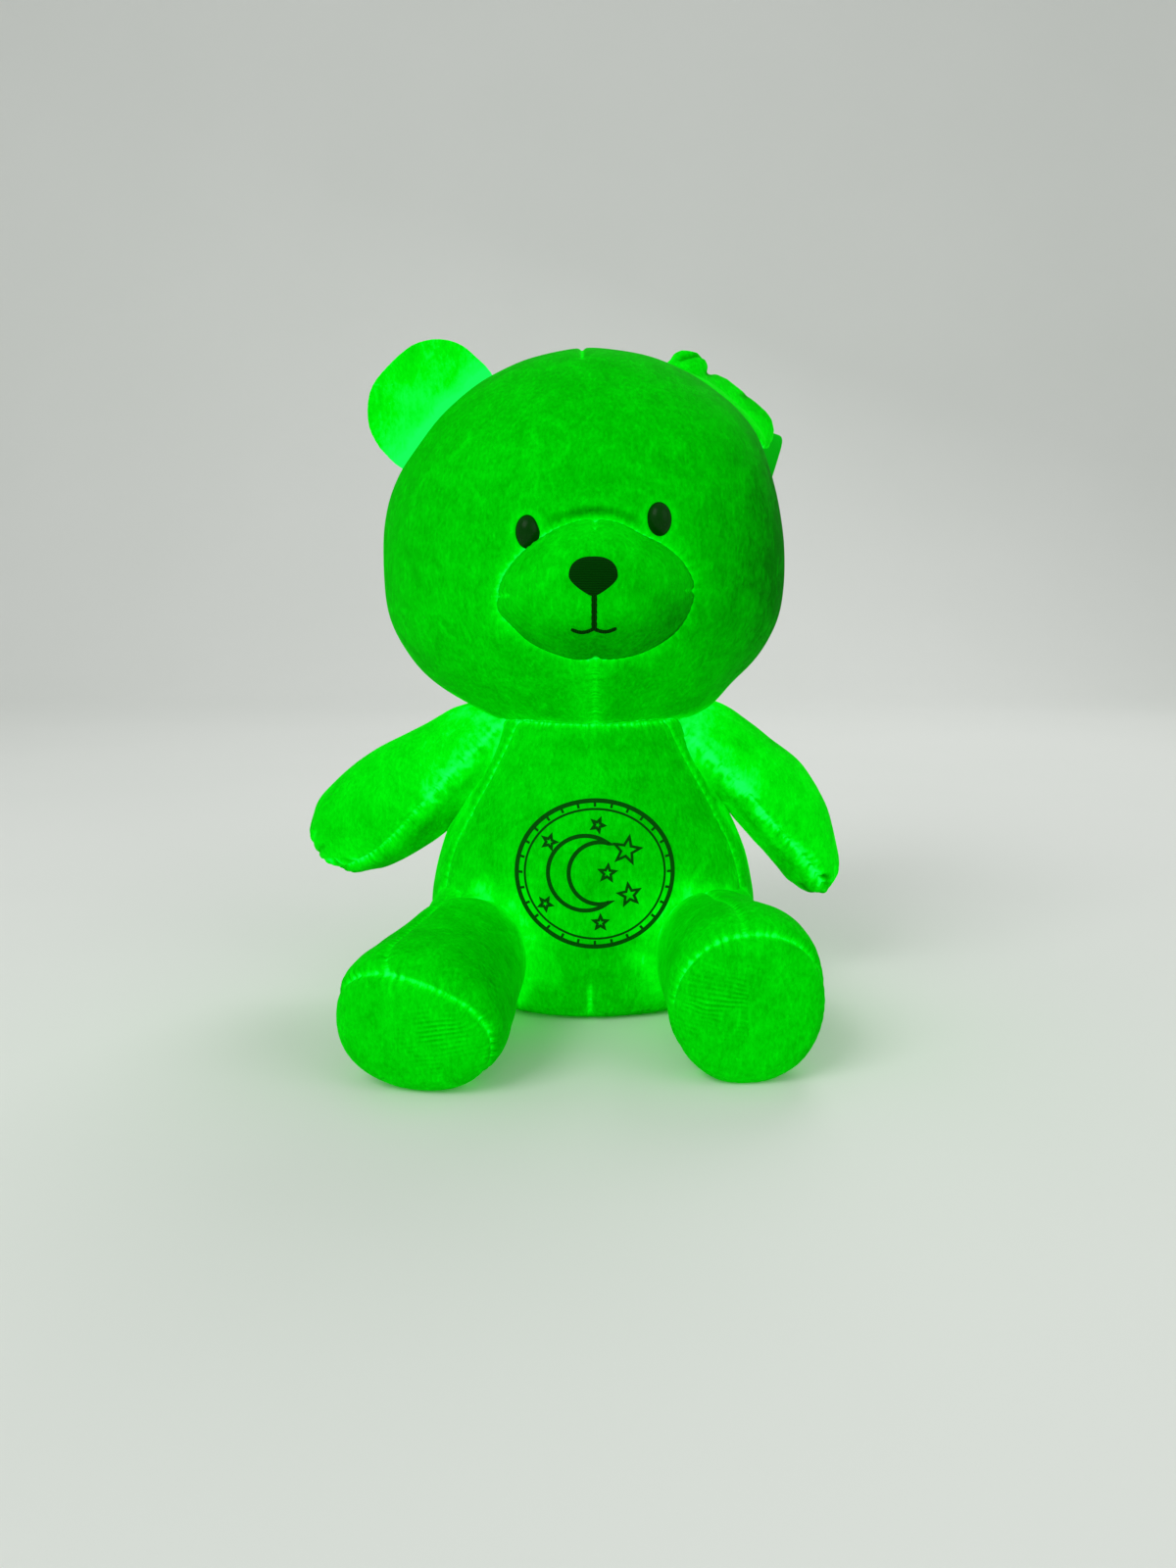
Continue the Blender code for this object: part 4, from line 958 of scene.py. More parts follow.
def muzzle():
    """The muzzle's puffed front, sewn into the face all round, with its hidden back."""
    rows, cols = int(130 * FINE), int(300 * FINE)
    rim2 = spline(np.vstack([MUZZLE_OUTLINE, MUZZLE_OUTLINE[:1]]), cols + 1)[:-1]
    rim = np.stack([rim2[:, 0], face_y(rim2[:, 0], rim2[:, 1]) + 0.0016, rim2[:, 1]], -1)
    centre = np.array([0.0016, 0, 0.1590])
    grid = np.empty((rows, cols, 3))
    front = int(rows * 0.8)
    for row in range(rows):
        if row <= front:
            flat = math.sin(math.pi / 2 * row / front)
            sunk = -0.0208 * (1 - flat ** 2.6) ** 0.62
        else:
            flat = 1 - (row - front) / (rows - 1 - front)
            sunk = 0.006 * (1 - flat)
        base_y = rim[:, 1] * flat ** 2 - 0.0565 * (1 - flat ** 2)
        grid[row, :, 0] = centre[0] + (rim[:, 0] - centre[0]) * flat
        grid[row, :, 2] = centre[2] + (rim[:, 2] - centre[2]) * flat
        grid[row, :, 1] = base_y + sunk
    close_ends(grid)
    cloth = Cloth(grid)
    x, z = grid[..., 0] / MM, grid[..., 2] / MM
    rim_line = np.vstack([rim, rim[:1]])
    cloth.sew(rim_line, depth=0.3, width=1.3, puff=0.5, gather=0.22, pitch=2.6, glow=0.42, halo=0.02,
              pleats=0.5, seed=21)
    left, right = int(np.argmin(rim[:, 0])), int(np.argmax(rim[:, 0]))
    top = int(np.argmax(rim[:, 2]))
    bottom = int(np.argmin(np.abs(rim[:, 0] - 0.0018) + (rim[:, 2] > 0.158)))
    for column, stretch, bright in (
            (left, 0.24, 0.35), (right, 0.20, 0.25), (top, 0.26, 0.2), (bottom, 0.12, 0.2)):
        line = grid[int(front * (1 - stretch * 1.4)):front + 1, column]
        cloth.sew(line[::2], depth=0.9, width=1.0, puff=0.3, gather=0.0, reach=2.5, glow=bright,
                  halo=0.04, pleats=0.8, seed=22)
    cloth.soften(14, 0.35, 23)
    cloth.soften(6, 0.12, 24)
    gap, _, _ = near(grid, rim_line)
    gap = gap / MM
    # Painted light and shade: brighter at the top with bright flecks on the upper left, darker at the
    # bottom, at the lower right and in a band inside the rim
    cloth.charge(0.22)
    cloth.glow += 0.04 + 0.14 * bump(x, z, 0, 177, 15, 8)
    cloth.glow += 0.20 * clamp(lumps(grid / MM, 2.4, 25)) * bump(x, z, -16, 166, 17, 13)
    cloth.glow -= 0.18 * clamp((153 - z) / 11) + 0.24 * bump(x, z, 27, 151, 12, 9)
    cloth.glow -= 0.12 * bell(gap - 2.6, 1.6) * (x > 8) + 0.08 * bell(gap - 2.8, 1.8)
    cloth.lift *= clamp((front + 2 - np.arange(rows)[:, None]) / 3)
    cloth.open *= 0.25
    cloth.settle()
    cloth.grid = tilt_head(cloth.grid)
    piece("muzzle_cover", cloth, "head", ["muzzle_panel"], PANEL, slot="plush_panel")


def on_surface(item, x, z):
    """The point and direction of a piece's surface straight behind a place seen from the front."""
    in_front = -0.2
    hit, normal, _, _ = tree_of(item).ray_cast(Vector((x, in_front, z)), Vector((0, 1, 0)))
    return np.array(hit), np.array(normal)


TREES = {}


def tree_of(item):
    if item.name not in TREES:
        TREES[item.name] = BVHTree.FromPolygons([v.co for v in item.data.vertices],
                                                [p.vertices[:] for p in item.data.polygons])
    return TREES[item.name]


# Half width, half height and dome of an eye, and how deep it is pressed in
EYE_SHAPE = 0.00425, 0.0057, 0.0036, 0.0008
# The share of an eye's rows that make its dome, and the depth of its closed back
DOME_SHARE, BACK_DEPTH = 0.75, 0.0012


def eye(side):
    """A domed plastic eye pressed into its hollow."""
    name = "left" if side < 0 else "right"
    wide, high, dome, sunk = EYE_SHAPE
    x, z = EYES[0 if side < 0 else 1] * MM
    rows, cols = 40, 64
    middle = np.array([x, face_y(x, z), z])
    step = 0.0005
    tx = np.array([step, face_y(x + step, z) - middle[1], 0])
    tz = np.array([0, face_y(x, z + step) - middle[1], step])
    out = unit(np.cross(tx, tz))
    across = -unit(np.cross(np.array([0, 0, 1.0]), out))
    upward = np.cross(out, across)
    angle = circle(cols)
    grid = np.empty((rows, cols, 3))
    for row in range(rows):
        t = row / (rows - 1)
        if t < DOME_SHARE:
            a = math.pi / 2 * t / DOME_SHARE
            reach, lift = math.sin(a), dome * math.cos(a)
        else:
            b = (t - DOME_SHARE) / (1 - DOME_SHARE)
            reach, lift = 1 - b, -BACK_DEPTH * math.sin(math.pi / 2 * b)
        ring = np.cos(angle)[:, None] * across * wide + np.sin(angle)[:, None] * upward * high
        grid[row] = middle + ring * reach + out * (lift - sunk)
    item = add(name + "_eye_dome", grid_mesh(name + "_eye_dome", tilt_head(grid)), EYE)
    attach(item, "head")
    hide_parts(name + "_eye")


# Middle of the nose seen from the front, its half width and half height, in metres
NOSE_PLACE, NOSE_HALF = (-0.0003, 0.1625), (0.00785, 0.00620)


def nose(surface):
    """The nose in satin stitch on the muzzle, a triangle with round corners."""
    rows, cols = 26, 90
    angle = circle(cols)
    narrow = 1 - 0.62 * clamp(-np.sin(angle)) ** 1.3
    wide = NOSE_HALF[0] * powered(np.cos(angle), 0.80) * narrow
    high = NOSE_HALF[1] * powered(np.sin(angle), 0.88)
    grid = np.empty((rows, cols, 3))
    for row in range(rows):
        t = row / (rows - 1)
        if t < 0.8:
            a = math.pi / 2 * t / 0.8
            reach, lift = math.sin(a), 0.0016 * math.cos(a) ** 0.7 + 0.0002
        else:
            reach, lift = 1 - (t - 0.8) / 0.2 * 0.999, -0.0008
        for col in range(cols):
            hit, normal = on_surface(surface, NOSE_PLACE[0] + wide[col] * reach,
                                     NOSE_PLACE[1] + high[col] * reach)
            grid[row, col] = hit + normal * lift
    close_ends(grid)
    item = add("nose_stitched", grid_mesh("nose_stitched", grid), NOSE_THREAD)
    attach(item, "head")
    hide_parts("nose")


# Half width and height of the smile, and half widths of the two threads, in metres
SMILE_HALF, SMILE_TOP = 0.0074, 0.1458
UPRIGHT_THREAD, SMILE_THREAD = 0.00092, 0.00070


def mouth(surface):
    """The mouth as two lines of thread on the muzzle: one upright and one curved."""
    smile = [(-0.0001 + SMILE_HALF * t, SMILE_TOP - 0.0011 * math.sin(math.pi * abs(t)) + 0.0002 * t)
             for t in np.linspace(-1, 1, 29)]
    lines = [[(0.0, z) for z in np.linspace(0.1572, 0.1459, 16)], smile]
    verts, faces = [], []
    sides = 8
    for line, width in zip(lines, (UPRIGHT_THREAD, SMILE_THREAD)):
        tops = [on_surface(surface, x, z) for x, z in line]
        start = len(verts)
        for number, (hit, normal) in enumerate(tops):
            before, after = tops[max(0, number - 1)][0], tops[min(len(tops) - 1, number + 1)][0]
            across = unit(np.cross(unit(after - before), normal))
            swell = 1 + 0.10 * math.cos(number * 2.4)
            if number in (0, len(tops) - 1) and line is smile:
                swell *= 0.45
            for a in circle(sides):
                verts.append(tuple(hit + across * width * swell * math.cos(a)
                                   + normal * (0.0002 + width * 0.8 * math.sin(a))))
        faces += tube_faces(start, len(tops), sides)
        faces.append(tuple(start + k for k in reversed(range(sides))))
        faces.append(tuple(start + (len(tops) - 1) * sides + k for k in range(sides)))
    mesh = bpy.data.meshes.new("mouth_thread")
    mesh.from_pydata(verts, [], faces)
    work = bmesh.new()
    work.from_mesh(mesh)
    bmesh.ops.recalc_face_normals(work, faces=work.faces)
    work.to_mesh(mesh)
    work.free()
    item = add("mouth_thread", mesh, MOUTH_THREAD)
    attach(item, "head")
    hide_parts("mouth")


BACKWARDS = np.array([0, 1.0, 0])
# How far an ear's hinge line lies off the head's own form, and an ear's half width, half
# height and middle above that line in mm
EAR_GAP = 0.0014
EAR_HALF_WIDE, EAR_HALF_HIGH, EAR_MIDDLE = 25.0, 21.6, 5.1
# The folded ear's rise along its width, and its creases: low end, top end and start, all in mm
EAR_RISE = ((-26, -23, -18, -14, -10.5, -9, -7, -3, 3, 9, 15, 20, 23, 26),
            (4.5, 7.4, 8.2, 6.6, 3.4, 3.0, 4.0, 4.8, 4.6, 5.0, 6.0, 6.6, 5.8, 2.5))
EAR_CREASES = ((-10.5, -9.0, 0, 22), (5.0, 12.0, 2, 22), (-23.0, -12.0, 1, 8))
EARS = {
    "left": {"side": -1, "around": math.radians(46), "cup": 5.0, "fold": 0.0},
    "right": {"side": 1, "around": math.radians(40), "cup": -4.5, "fold": math.radians(82)},
}


def ear_turn(data):
    """The ear's own directions: its hinge line, back and outwards, on the upright head."""
    side, around = data["side"], data["around"]
    share = math.cos(around) ** (2 / UPPER)
    out = side * math.sin(around) ** (2 / UPPER)
    steep = np.array([side * abs(out), 0, share])
    outward = unit(powered(steep, UPPER - 1) / HEAD_HALF)
    point = HEAD_MIDDLE + HEAD_HALF * (out, 0, share) + (0, HEAD_SEAM, 0)
    return point + outward * EAR_GAP, np.cross(BACKWARDS, outward), outward


def ear(name):
    """An ear of two layers of cloth sewn round the edge, cupped and creased."""
    data = EARS[name]
    side, cup = data["side"], data["cup"]
    hinge, axis, outward = ear_turn(data)
    fold = -data["fold"]
    rows, cols = int(150 * FINE), int(240 * FINE)
    angle = circle(cols)
    local = np.empty((rows, cols, 3))
    edge_row = (rows - 1) // 2
    for row in range(rows):
        front = row <= edge_row
        t = row / edge_row if front else (rows - 1 - row) / (rows - 1 - edge_row)
        reach = math.sin(math.pi / 2 * t)
        thick = 2.7 * max(0.0, 1 - reach ** 3.2) ** 0.5
        u = powered(np.cos(angle), 0.90) * reach
        v = powered(np.sin(angle), 0.92) * reach
        # The standing ear spreads towards its base, where it is sewn along the head
        spread = 1 + (0.10 if side < 0 else 0.0) * clamp(-v)
        local[row, :, 0] = EAR_HALF_WIDE * u * spread
        local[row, :, 1] = cup * ((5.1 / 22) ** 2 - u ** 2 - v ** 2) + (-thick if front else thick)
        local[row, :, 2] = EAR_MIDDLE + EAR_HALF_HIGH * v
    local *= MM
    close_ends(local)
    x, z = (local[..., k] / MM for k in (0, 2))
    front = (np.arange(rows) <= edge_row)[:, None]
    if side > 0:
        # The folded ear is crumpled into a small lobe and a long one, which stand off the head
        lobe = clamp((z + 2) / 8)
        rise = np.interp(x, *EAR_RISE)
        local[..., 1] -= MM * (rise - 0.6) * lobe * np.where(front, 1.0, 0.5)
        local[..., 2] += MM * 1.2 * np.sin(x / 6.5)
    else:
        local[..., 1] += MM * 0.8 * np.sin(x / 6.5 + 0.6) * clamp(z / 20)
    cloth = Cloth(local)
    edge = np.vstack([local[edge_row], local[edge_row][:1]])
    cloth.sew(edge, depth=0.4, width=0.8, puff=0.3, gather=0.14, pitch=3.0, reach=3.0, glow=0.05,
              halo=0.02, seed=31)
    if side > 0:
        inner = local[:edge_row]
        # Each crease is painted darker as shade
        for low, top, start, long in EAR_CREASES:
            line = []
            for t in np.linspace(0, 1, 10):
                away = inner[..., [0, 2]] - np.array((low + (top - low) * t, start + long * t)) * MM
                line.append(inner.reshape(-1, 3)[np.argmin(np.linalg.norm(away, axis=-1))])
            cloth.fold(line, height=-0.4 if start == 2 else -1.1, width=1.4, glow=-0.5, fade=4)
    cloth.soften(9, 0.5, 32 + side)
    cloth.soften(4, 0.14, 34 + side)
    cloth.glow += 0.14 * lumps(local / MM, 8.0, 36)
    # On the standing ear, painted light from the head gathers in the base of the cup, and its back layer
    # is painted darker
    if side < 0:
        cloth.glow += 0.44 + 0.50 * np.exp(-np.clip(z + 1, 0, None) / 5.0)
        cloth.glow -= 0.25 * ~front
    else:
        cloth.glow += 0.22
    cloth.settle()
    done = cloth.grid
    c, s = math.cos(fold), math.sin(fold)
    deep = done[..., 1:2] * c - done[..., 2:] * s
    high = done[..., 1:2] * s + done[..., 2:] * c
    cloth.grid = tilt_head(hinge + done[..., :1] * axis + deep * BACKWARDS + high * outward)
    keep = np.zeros((rows - 1, cols), bool)
    keep[:edge_row] = True
    away = BACKWARDS if fold else outward
    start, end = tilt_head(hinge - away * 0.003), tilt_head(hinge + away * 0.007)
    body = ("head", name + "_ear", tuple(start), tuple(end))
    piece(name + "_ear_inner", cloth, body, [name + "_ear_front"], PANEL, keep=keep, fill_share=0.1,
          slot="plush_panel")
    piece(name + "_ear_outer", cloth, body, [name + "_ear_back"], PLUSH, keep=~keep, fill_share=0.1)


# The card's middle (x and z), half width, half length and middle depth, in mm, and its long
# and short directions seen from the front
CARD_MIDDLE, CARD_HALF, CARD_DEPTH = np.array([68.5, 209.3]), (5.0, 10.5), 24.0
CARD_ALONG, CARD_ACROSS = np.array([0.277, 0.961]), np.array([0.961, -0.277])


def ear_card():
    """The blank card tag behind the folded ear, slightly curled, its low corner caught in the cloth."""
    rows, cols = 26, 80
    angle = circle(cols)
    grid = np.empty((rows, cols, 3))
    for row in range(rows):
        t = 1 - abs(2 * row / (rows - 1) - 1)
        reach = math.sin(math.pi / 2 * t)
        u = powered(np.cos(angle), 0.38) * reach
        v = powered(np.sin(angle), 0.38) * reach
        tuck = clamp(-u) ** 2 * clamp(-v) ** 2
        place = CARD_MIDDLE + np.outer(CARD_HALF[0] * u - 2.2 * tuck, CARD_ACROSS) \
            + np.outer(CARD_HALF[1] * v, CARD_ALONG)
        thick = (0.3 if row < rows / 2 else -0.3) * max(0.0, 1 - reach ** 10) ** 0.5
        grid[row, :, 0], grid[row, :, 2] = place[:, 0], place[:, 1]
        grid[row, :, 1] = CARD_DEPTH - thick + 0.9 * v ** 2 - 0.5 * u ** 2 - 0.9 * tuck
    grid *= MM
    close_ends(grid)
    item = add("ear_card_tag", grid_mesh("ear_card_tag", grid), CARD)
    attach(item, "head")
    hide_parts("ear_tag")


# Rows of an arm: share of its length, then half width, half depth and rise off its middle
# line in mm. Places of its seam: share of its length, then degrees up from the front
ARM_ROOT = ((-0.22, 1, 1, 0), (-0.20, 8, 8, 0), (-0.12, 15, 14, 2))
ARMS = {
    "left": {"side": -1, "start": -21, "bend": -18, "tuck": 0.75, "crumple": 0.55, "line": ARM_ROOT + (
        (-0.02, 18.5, 17.5, 4.0), (0.05, 19.2, 18.2, 3.6), (0.12, 19.4, 18.2, 2.9),
        (0.20, 19.7, 17.8, 2.2), (0.30, 20.3, 17.4, 1.4), (0.40, 21.1, 17.4, 0.8),
        (0.50, 21.4, 17.3, 0.2), (0.60, 21.3, 17.0, -0.1), (0.70, 20.3, 16.4, -0.3),
        (0.80, 18.3, 14.8, -0.3), (0.88, 15.3, 12.6, -0.5), (0.94, 12.0, 9.9, -0.5),
        (0.98, 8.0, 6.6, -0.8), (1.0, 4.9, 4.2, -0.9), (1.012, 0, 0, -0.9)),
        "seam": ((0.02, 34), (0.12, 8), (0.3, -8), (0.45, -20), (0.6, -30), (0.75, -40), (0.9, -52))},
    "right": {"side": 1, "start": -14, "bend": -66, "tuck": 0.5, "crumple": 1.05, "line": ARM_ROOT + (
        (-0.02, 18.5, 17.5, 3.6), (0.05, 18.8, 18.0, 3.2), (0.12, 17.9, 17.8, 2.4),
        (0.20, 16.8, 17.4, 1.9), (0.30, 16.4, 17.0, 1.5), (0.40, 17.1, 17.0, 0.9),
        (0.50, 16.7, 16.8, -0.3), (0.60, 15.9, 16.0, -1.0), (0.70, 14.4, 14.6, -1.3),
        (0.80, 12.5, 12.8, -1.0), (0.88, 10.4, 10.6, -0.2), (0.94, 7.9, 8.0, 0.4),
        (0.98, 4.8, 4.8, 1.2), (1.0, 2.4, 2.4, 1.6), (1.008, 0, 0, 1.8)),
        "seam": ((0.02, 30), (0.12, 2), (0.3, -18), (0.45, -24), (0.6, -21), (0.75, -11), (0.9, 3))},
}
# The shoulder's place and an arm's length in mm
SHOULDER = 40, 93.5
ARM_LENGTH = 80.0


def arm_line(data):
    """Points down the middle of an arm, with half widths and depths, in mm."""
    side = data["side"]
    fine = np.linspace(0, 1.02, 205)
    turn = np.radians(data["start"] + data["bend"] * fine)
    step = ARM_LENGTH / 200
    x = np.concatenate([[0], np.cumsum(np.cos((turn[1:] + turn[:-1]) / 2) * step)])
    z = np.concatenate([[0], np.cumsum(np.sin((turn[1:] + turn[:-1]) / 2) * step)])
    keys = []
    for share, wide, deep, rise in data["line"]:
        heading = turn[0] if share < 0 else np.interp(share, fine, turn)
        px = share * ARM_LENGTH * math.cos(heading) if share < 0 else np.interp(share, fine, x)
        pz = share * ARM_LENGTH * math.sin(heading) if share < 0 else np.interp(share, fine, z)
        keys.append((side * (SHOULDER[0] + px - rise * math.sin(heading)),
                     SHOULDER[1] + pz + rise * math.cos(heading), wide, deep))
    return np.array(keys)


def arm(name):
    """A stuffed arm with a gathered seam down its lower front and tucks at the paw."""
    data = ARMS[name]
    side = data["side"]
    rows, cols = int(190 * FINE), int(220 * FINE)
    ring = spline(arm_line(data), rows) * MM
    shares = np.interp(np.linspace(0, 1, rows), np.linspace(0, 1, 60), np.linspace(-0.22, 1.01, 60))
    line = np.stack([ring[:, 0], np.full(rows, 0.001), ring[:, 1]], -1)
    along = unit(np.gradient(line, axis=0))
    up = np.stack([-along[:, 2] * side, np.zeros(rows), along[:, 0] * side], -1)
    angle = circle(cols)
    wide = np.maximum(ring[:, 2], 0)[:, None, None]
    deep = np.maximum(ring[:, 3], 0)[:, None, None]
    grid = line[:, None] + up[:, None] * np.cos(angle)[None, :, None] * wide \
        - BACKWARDS * np.sin(angle)[None, :, None] * deep
    grid[0] = line[0]
    grid[-1] = line[-1]
    cloth = Cloth(grid)
    held = clamp(1 - (shares - 0.02) / 0.12)[:, None] * np.ones(cols)
    fill(cloth, held, pressure=4.0, cap=1.2, step=5)

    def at(share, lean):
        row = int(np.clip(np.interp(share, shares, np.arange(rows)), 0, rows - 1))
        col = (math.pi / 2 - math.radians(lean)) / (2 * math.pi) * cols
        return cloth.grid[row, int(round(col)) % cols]

    keys = np.array(data["seam"])
    ways = np.linspace(keys[0, 0], 0.985, 60)
    leans = np.interp(ways, keys[:, 0], keys[:, 1])
    seam = spline(np.array([at(s, v) for s, v in zip(ways, leans)])[::6], 80)
    cloth.sew(seam, depth=1.2, width=1.2, puff=0.7, pitch=2.6, glow=0.34, halo=0.08, pleats=0.75,
              seed=41 + side)
    back = np.array([at(s, -180 - v) for s, v in zip(ways, leans)])
    cloth.sew(spline(back[::6], 80), depth=0.8, width=1.3, puff=0.4, gather=0.2, pitch=3.1, glow=0.2,
              halo=0.12, pleats=0.8, seed=44 + side)
    # Tucks where the paw's tip is drawn together, painted lighter and darker in turn
    for number in range(9):
        lean = -124 + 27 * number
        ways_out = [at(s, lean + 6 * math.sin(9 * s + number))
                    for s in (0.998, 0.97, 0.94, 0.90, 0.86, 0.81)]
        cloth.fold(ways_out, height=-1.5 * data["tuck"], width=1.2, glow=(0.26, -0.26)[number % 2],
                   fade=3)
    # A small fan of folds where the seam turns under the paw, with painted light and shade
    for number in range(5):
        start, lean = 0.74 + 0.03 * number, np.interp(0.78, keys[:, 0], keys[:, 1])
        ways_out = [at(start + 0.035 * t, lean + 4 + (14 + 5 * number) * t) for t in np.linspace(0, 1, 6)]
        height, glow = ((0.8, 0.22), (-0.9, -0.24))[number % 2]
        cloth.fold(ways_out, height=height * data["tuck"], width=0.9, glow=glow, fade=2)
    # Slack cloth that runs in from the shoulder, painted a little lighter
    for lean, start, stop in ((62, 0.08, 0.30), (40, 0.05, 0.34), (16, 0.12, 0.36), (-40, 0.10, 0.30)):
        ways_out = [at(s, lean + 10 * (s - start)) for s in np.linspace(start, stop, 8)]
        cloth.fold(ways_out, height=-0.5, width=2.2, glow=0.05, fade=7)
    cloth.soften(16, 0.6, 46 + side)
    cloth.soften(7, 0.2, 48 + side)
    lean_of = 90 - np.degrees(angle)
    lean_of = (lean_of + 180) % 360 - 180
    seam_lean = np.interp(shares, keys[:, 0], keys[:, 1])[:, None]
    # Painted shade on the underside below the seam, and painted light near the shoulder
    below = clamp((seam_lean - 4 - lean_of[None, :]) / 16) * (lean_of[None, :] > -130)
    cloth.charge(0.22)
    cloth.glow += 0.27 - 0.38 * below * clamp((shares[:, None] - 0.05) / 0.1)
    cloth.glow += 0.08 * clamp(1 - shares / 0.45)[:, None]
    # Broad uneven patches of painted light and shade
    where = cloth.grid / MM
    cloth.glow += 0.13 * lumps(where, 14.0, 61 + side) + 0.07 * lumps(where, 6.0, 63 + side)
    # Crumpled cloth along the seam below the armpit, with painted light on the crumples
    close = bell(cloth.seam[..., 1] / MM, 4.0) * clamp((data["crumple"] - shares) / 0.2)[:, None]
    crumple = np.clip(lumps(where, 1.7, 65) + 0.4 * lumps(where, 3.4, 66), -0.6, 1)
    cloth.lift += MM * 0.5 * close * crumple
    cloth.glow += 0.42 * close * crumple + 0.10 * close
    # Painted light in the armpit
    cloth.glow += 0.22 * bump(where[..., 0], where[..., 2], side * 49, 91, 10, 8)
    cloth.open *= 0.6
    cloth.settle()
    ends = [tuple(line[int(np.argmin(np.abs(shares - s)))]) for s in (0.06, 0.38)]
    piece(name + "_arm_sleeve", cloth, ("torso", name + "_arm", *ends), [name + "_arm_cover"], PLUSH,
          fill_share=0.75)


# Each leg's sole (x and z) and hip-to-sole length, the foot's half width and half height, where
# its top seam runs in degrees round it, how far its sole's creases lie over the middle, and the
# sole's seam: how far from the end, how far it leans forward and sideways. Lengths in mm
LEGS = {
    "left": {"side": -1, "sole": (-57.5, 23.3), "length": 92.5, "wide": 27.4, "high": 23.8, "top": 108,
             "crease": -3, "seam": (6.6, 0.40, -0.15)},
    "right": {"side": 1, "sole": (50.8, 28.0), "length": 84.5, "wide": 24.7, "high": 28.5, "top": 98,
              "crease": 3, "seam": (8.0, 0.29, 0.0)},
}
HIP = 42.0, -19.5, 26.5
# Length share of a leg beyond its root, share of the way to the foot's size, size share
LEG_THICK = 24
LEG_SHARES = (
    (0.15, 0.00, 0.82), (0.30, 0.15, 0.925), (0.52, 0.50, 0.96), (0.72, 1.00, 0.99),
    (0.86, 1.00, 1.01), (0.915, 1.00, 0.985), (0.955, 1.00, 0.925), (0.982, 1.00, 0.82),
    (0.998, 1.00, 0.62), (1.005, 1.00, 0.36))


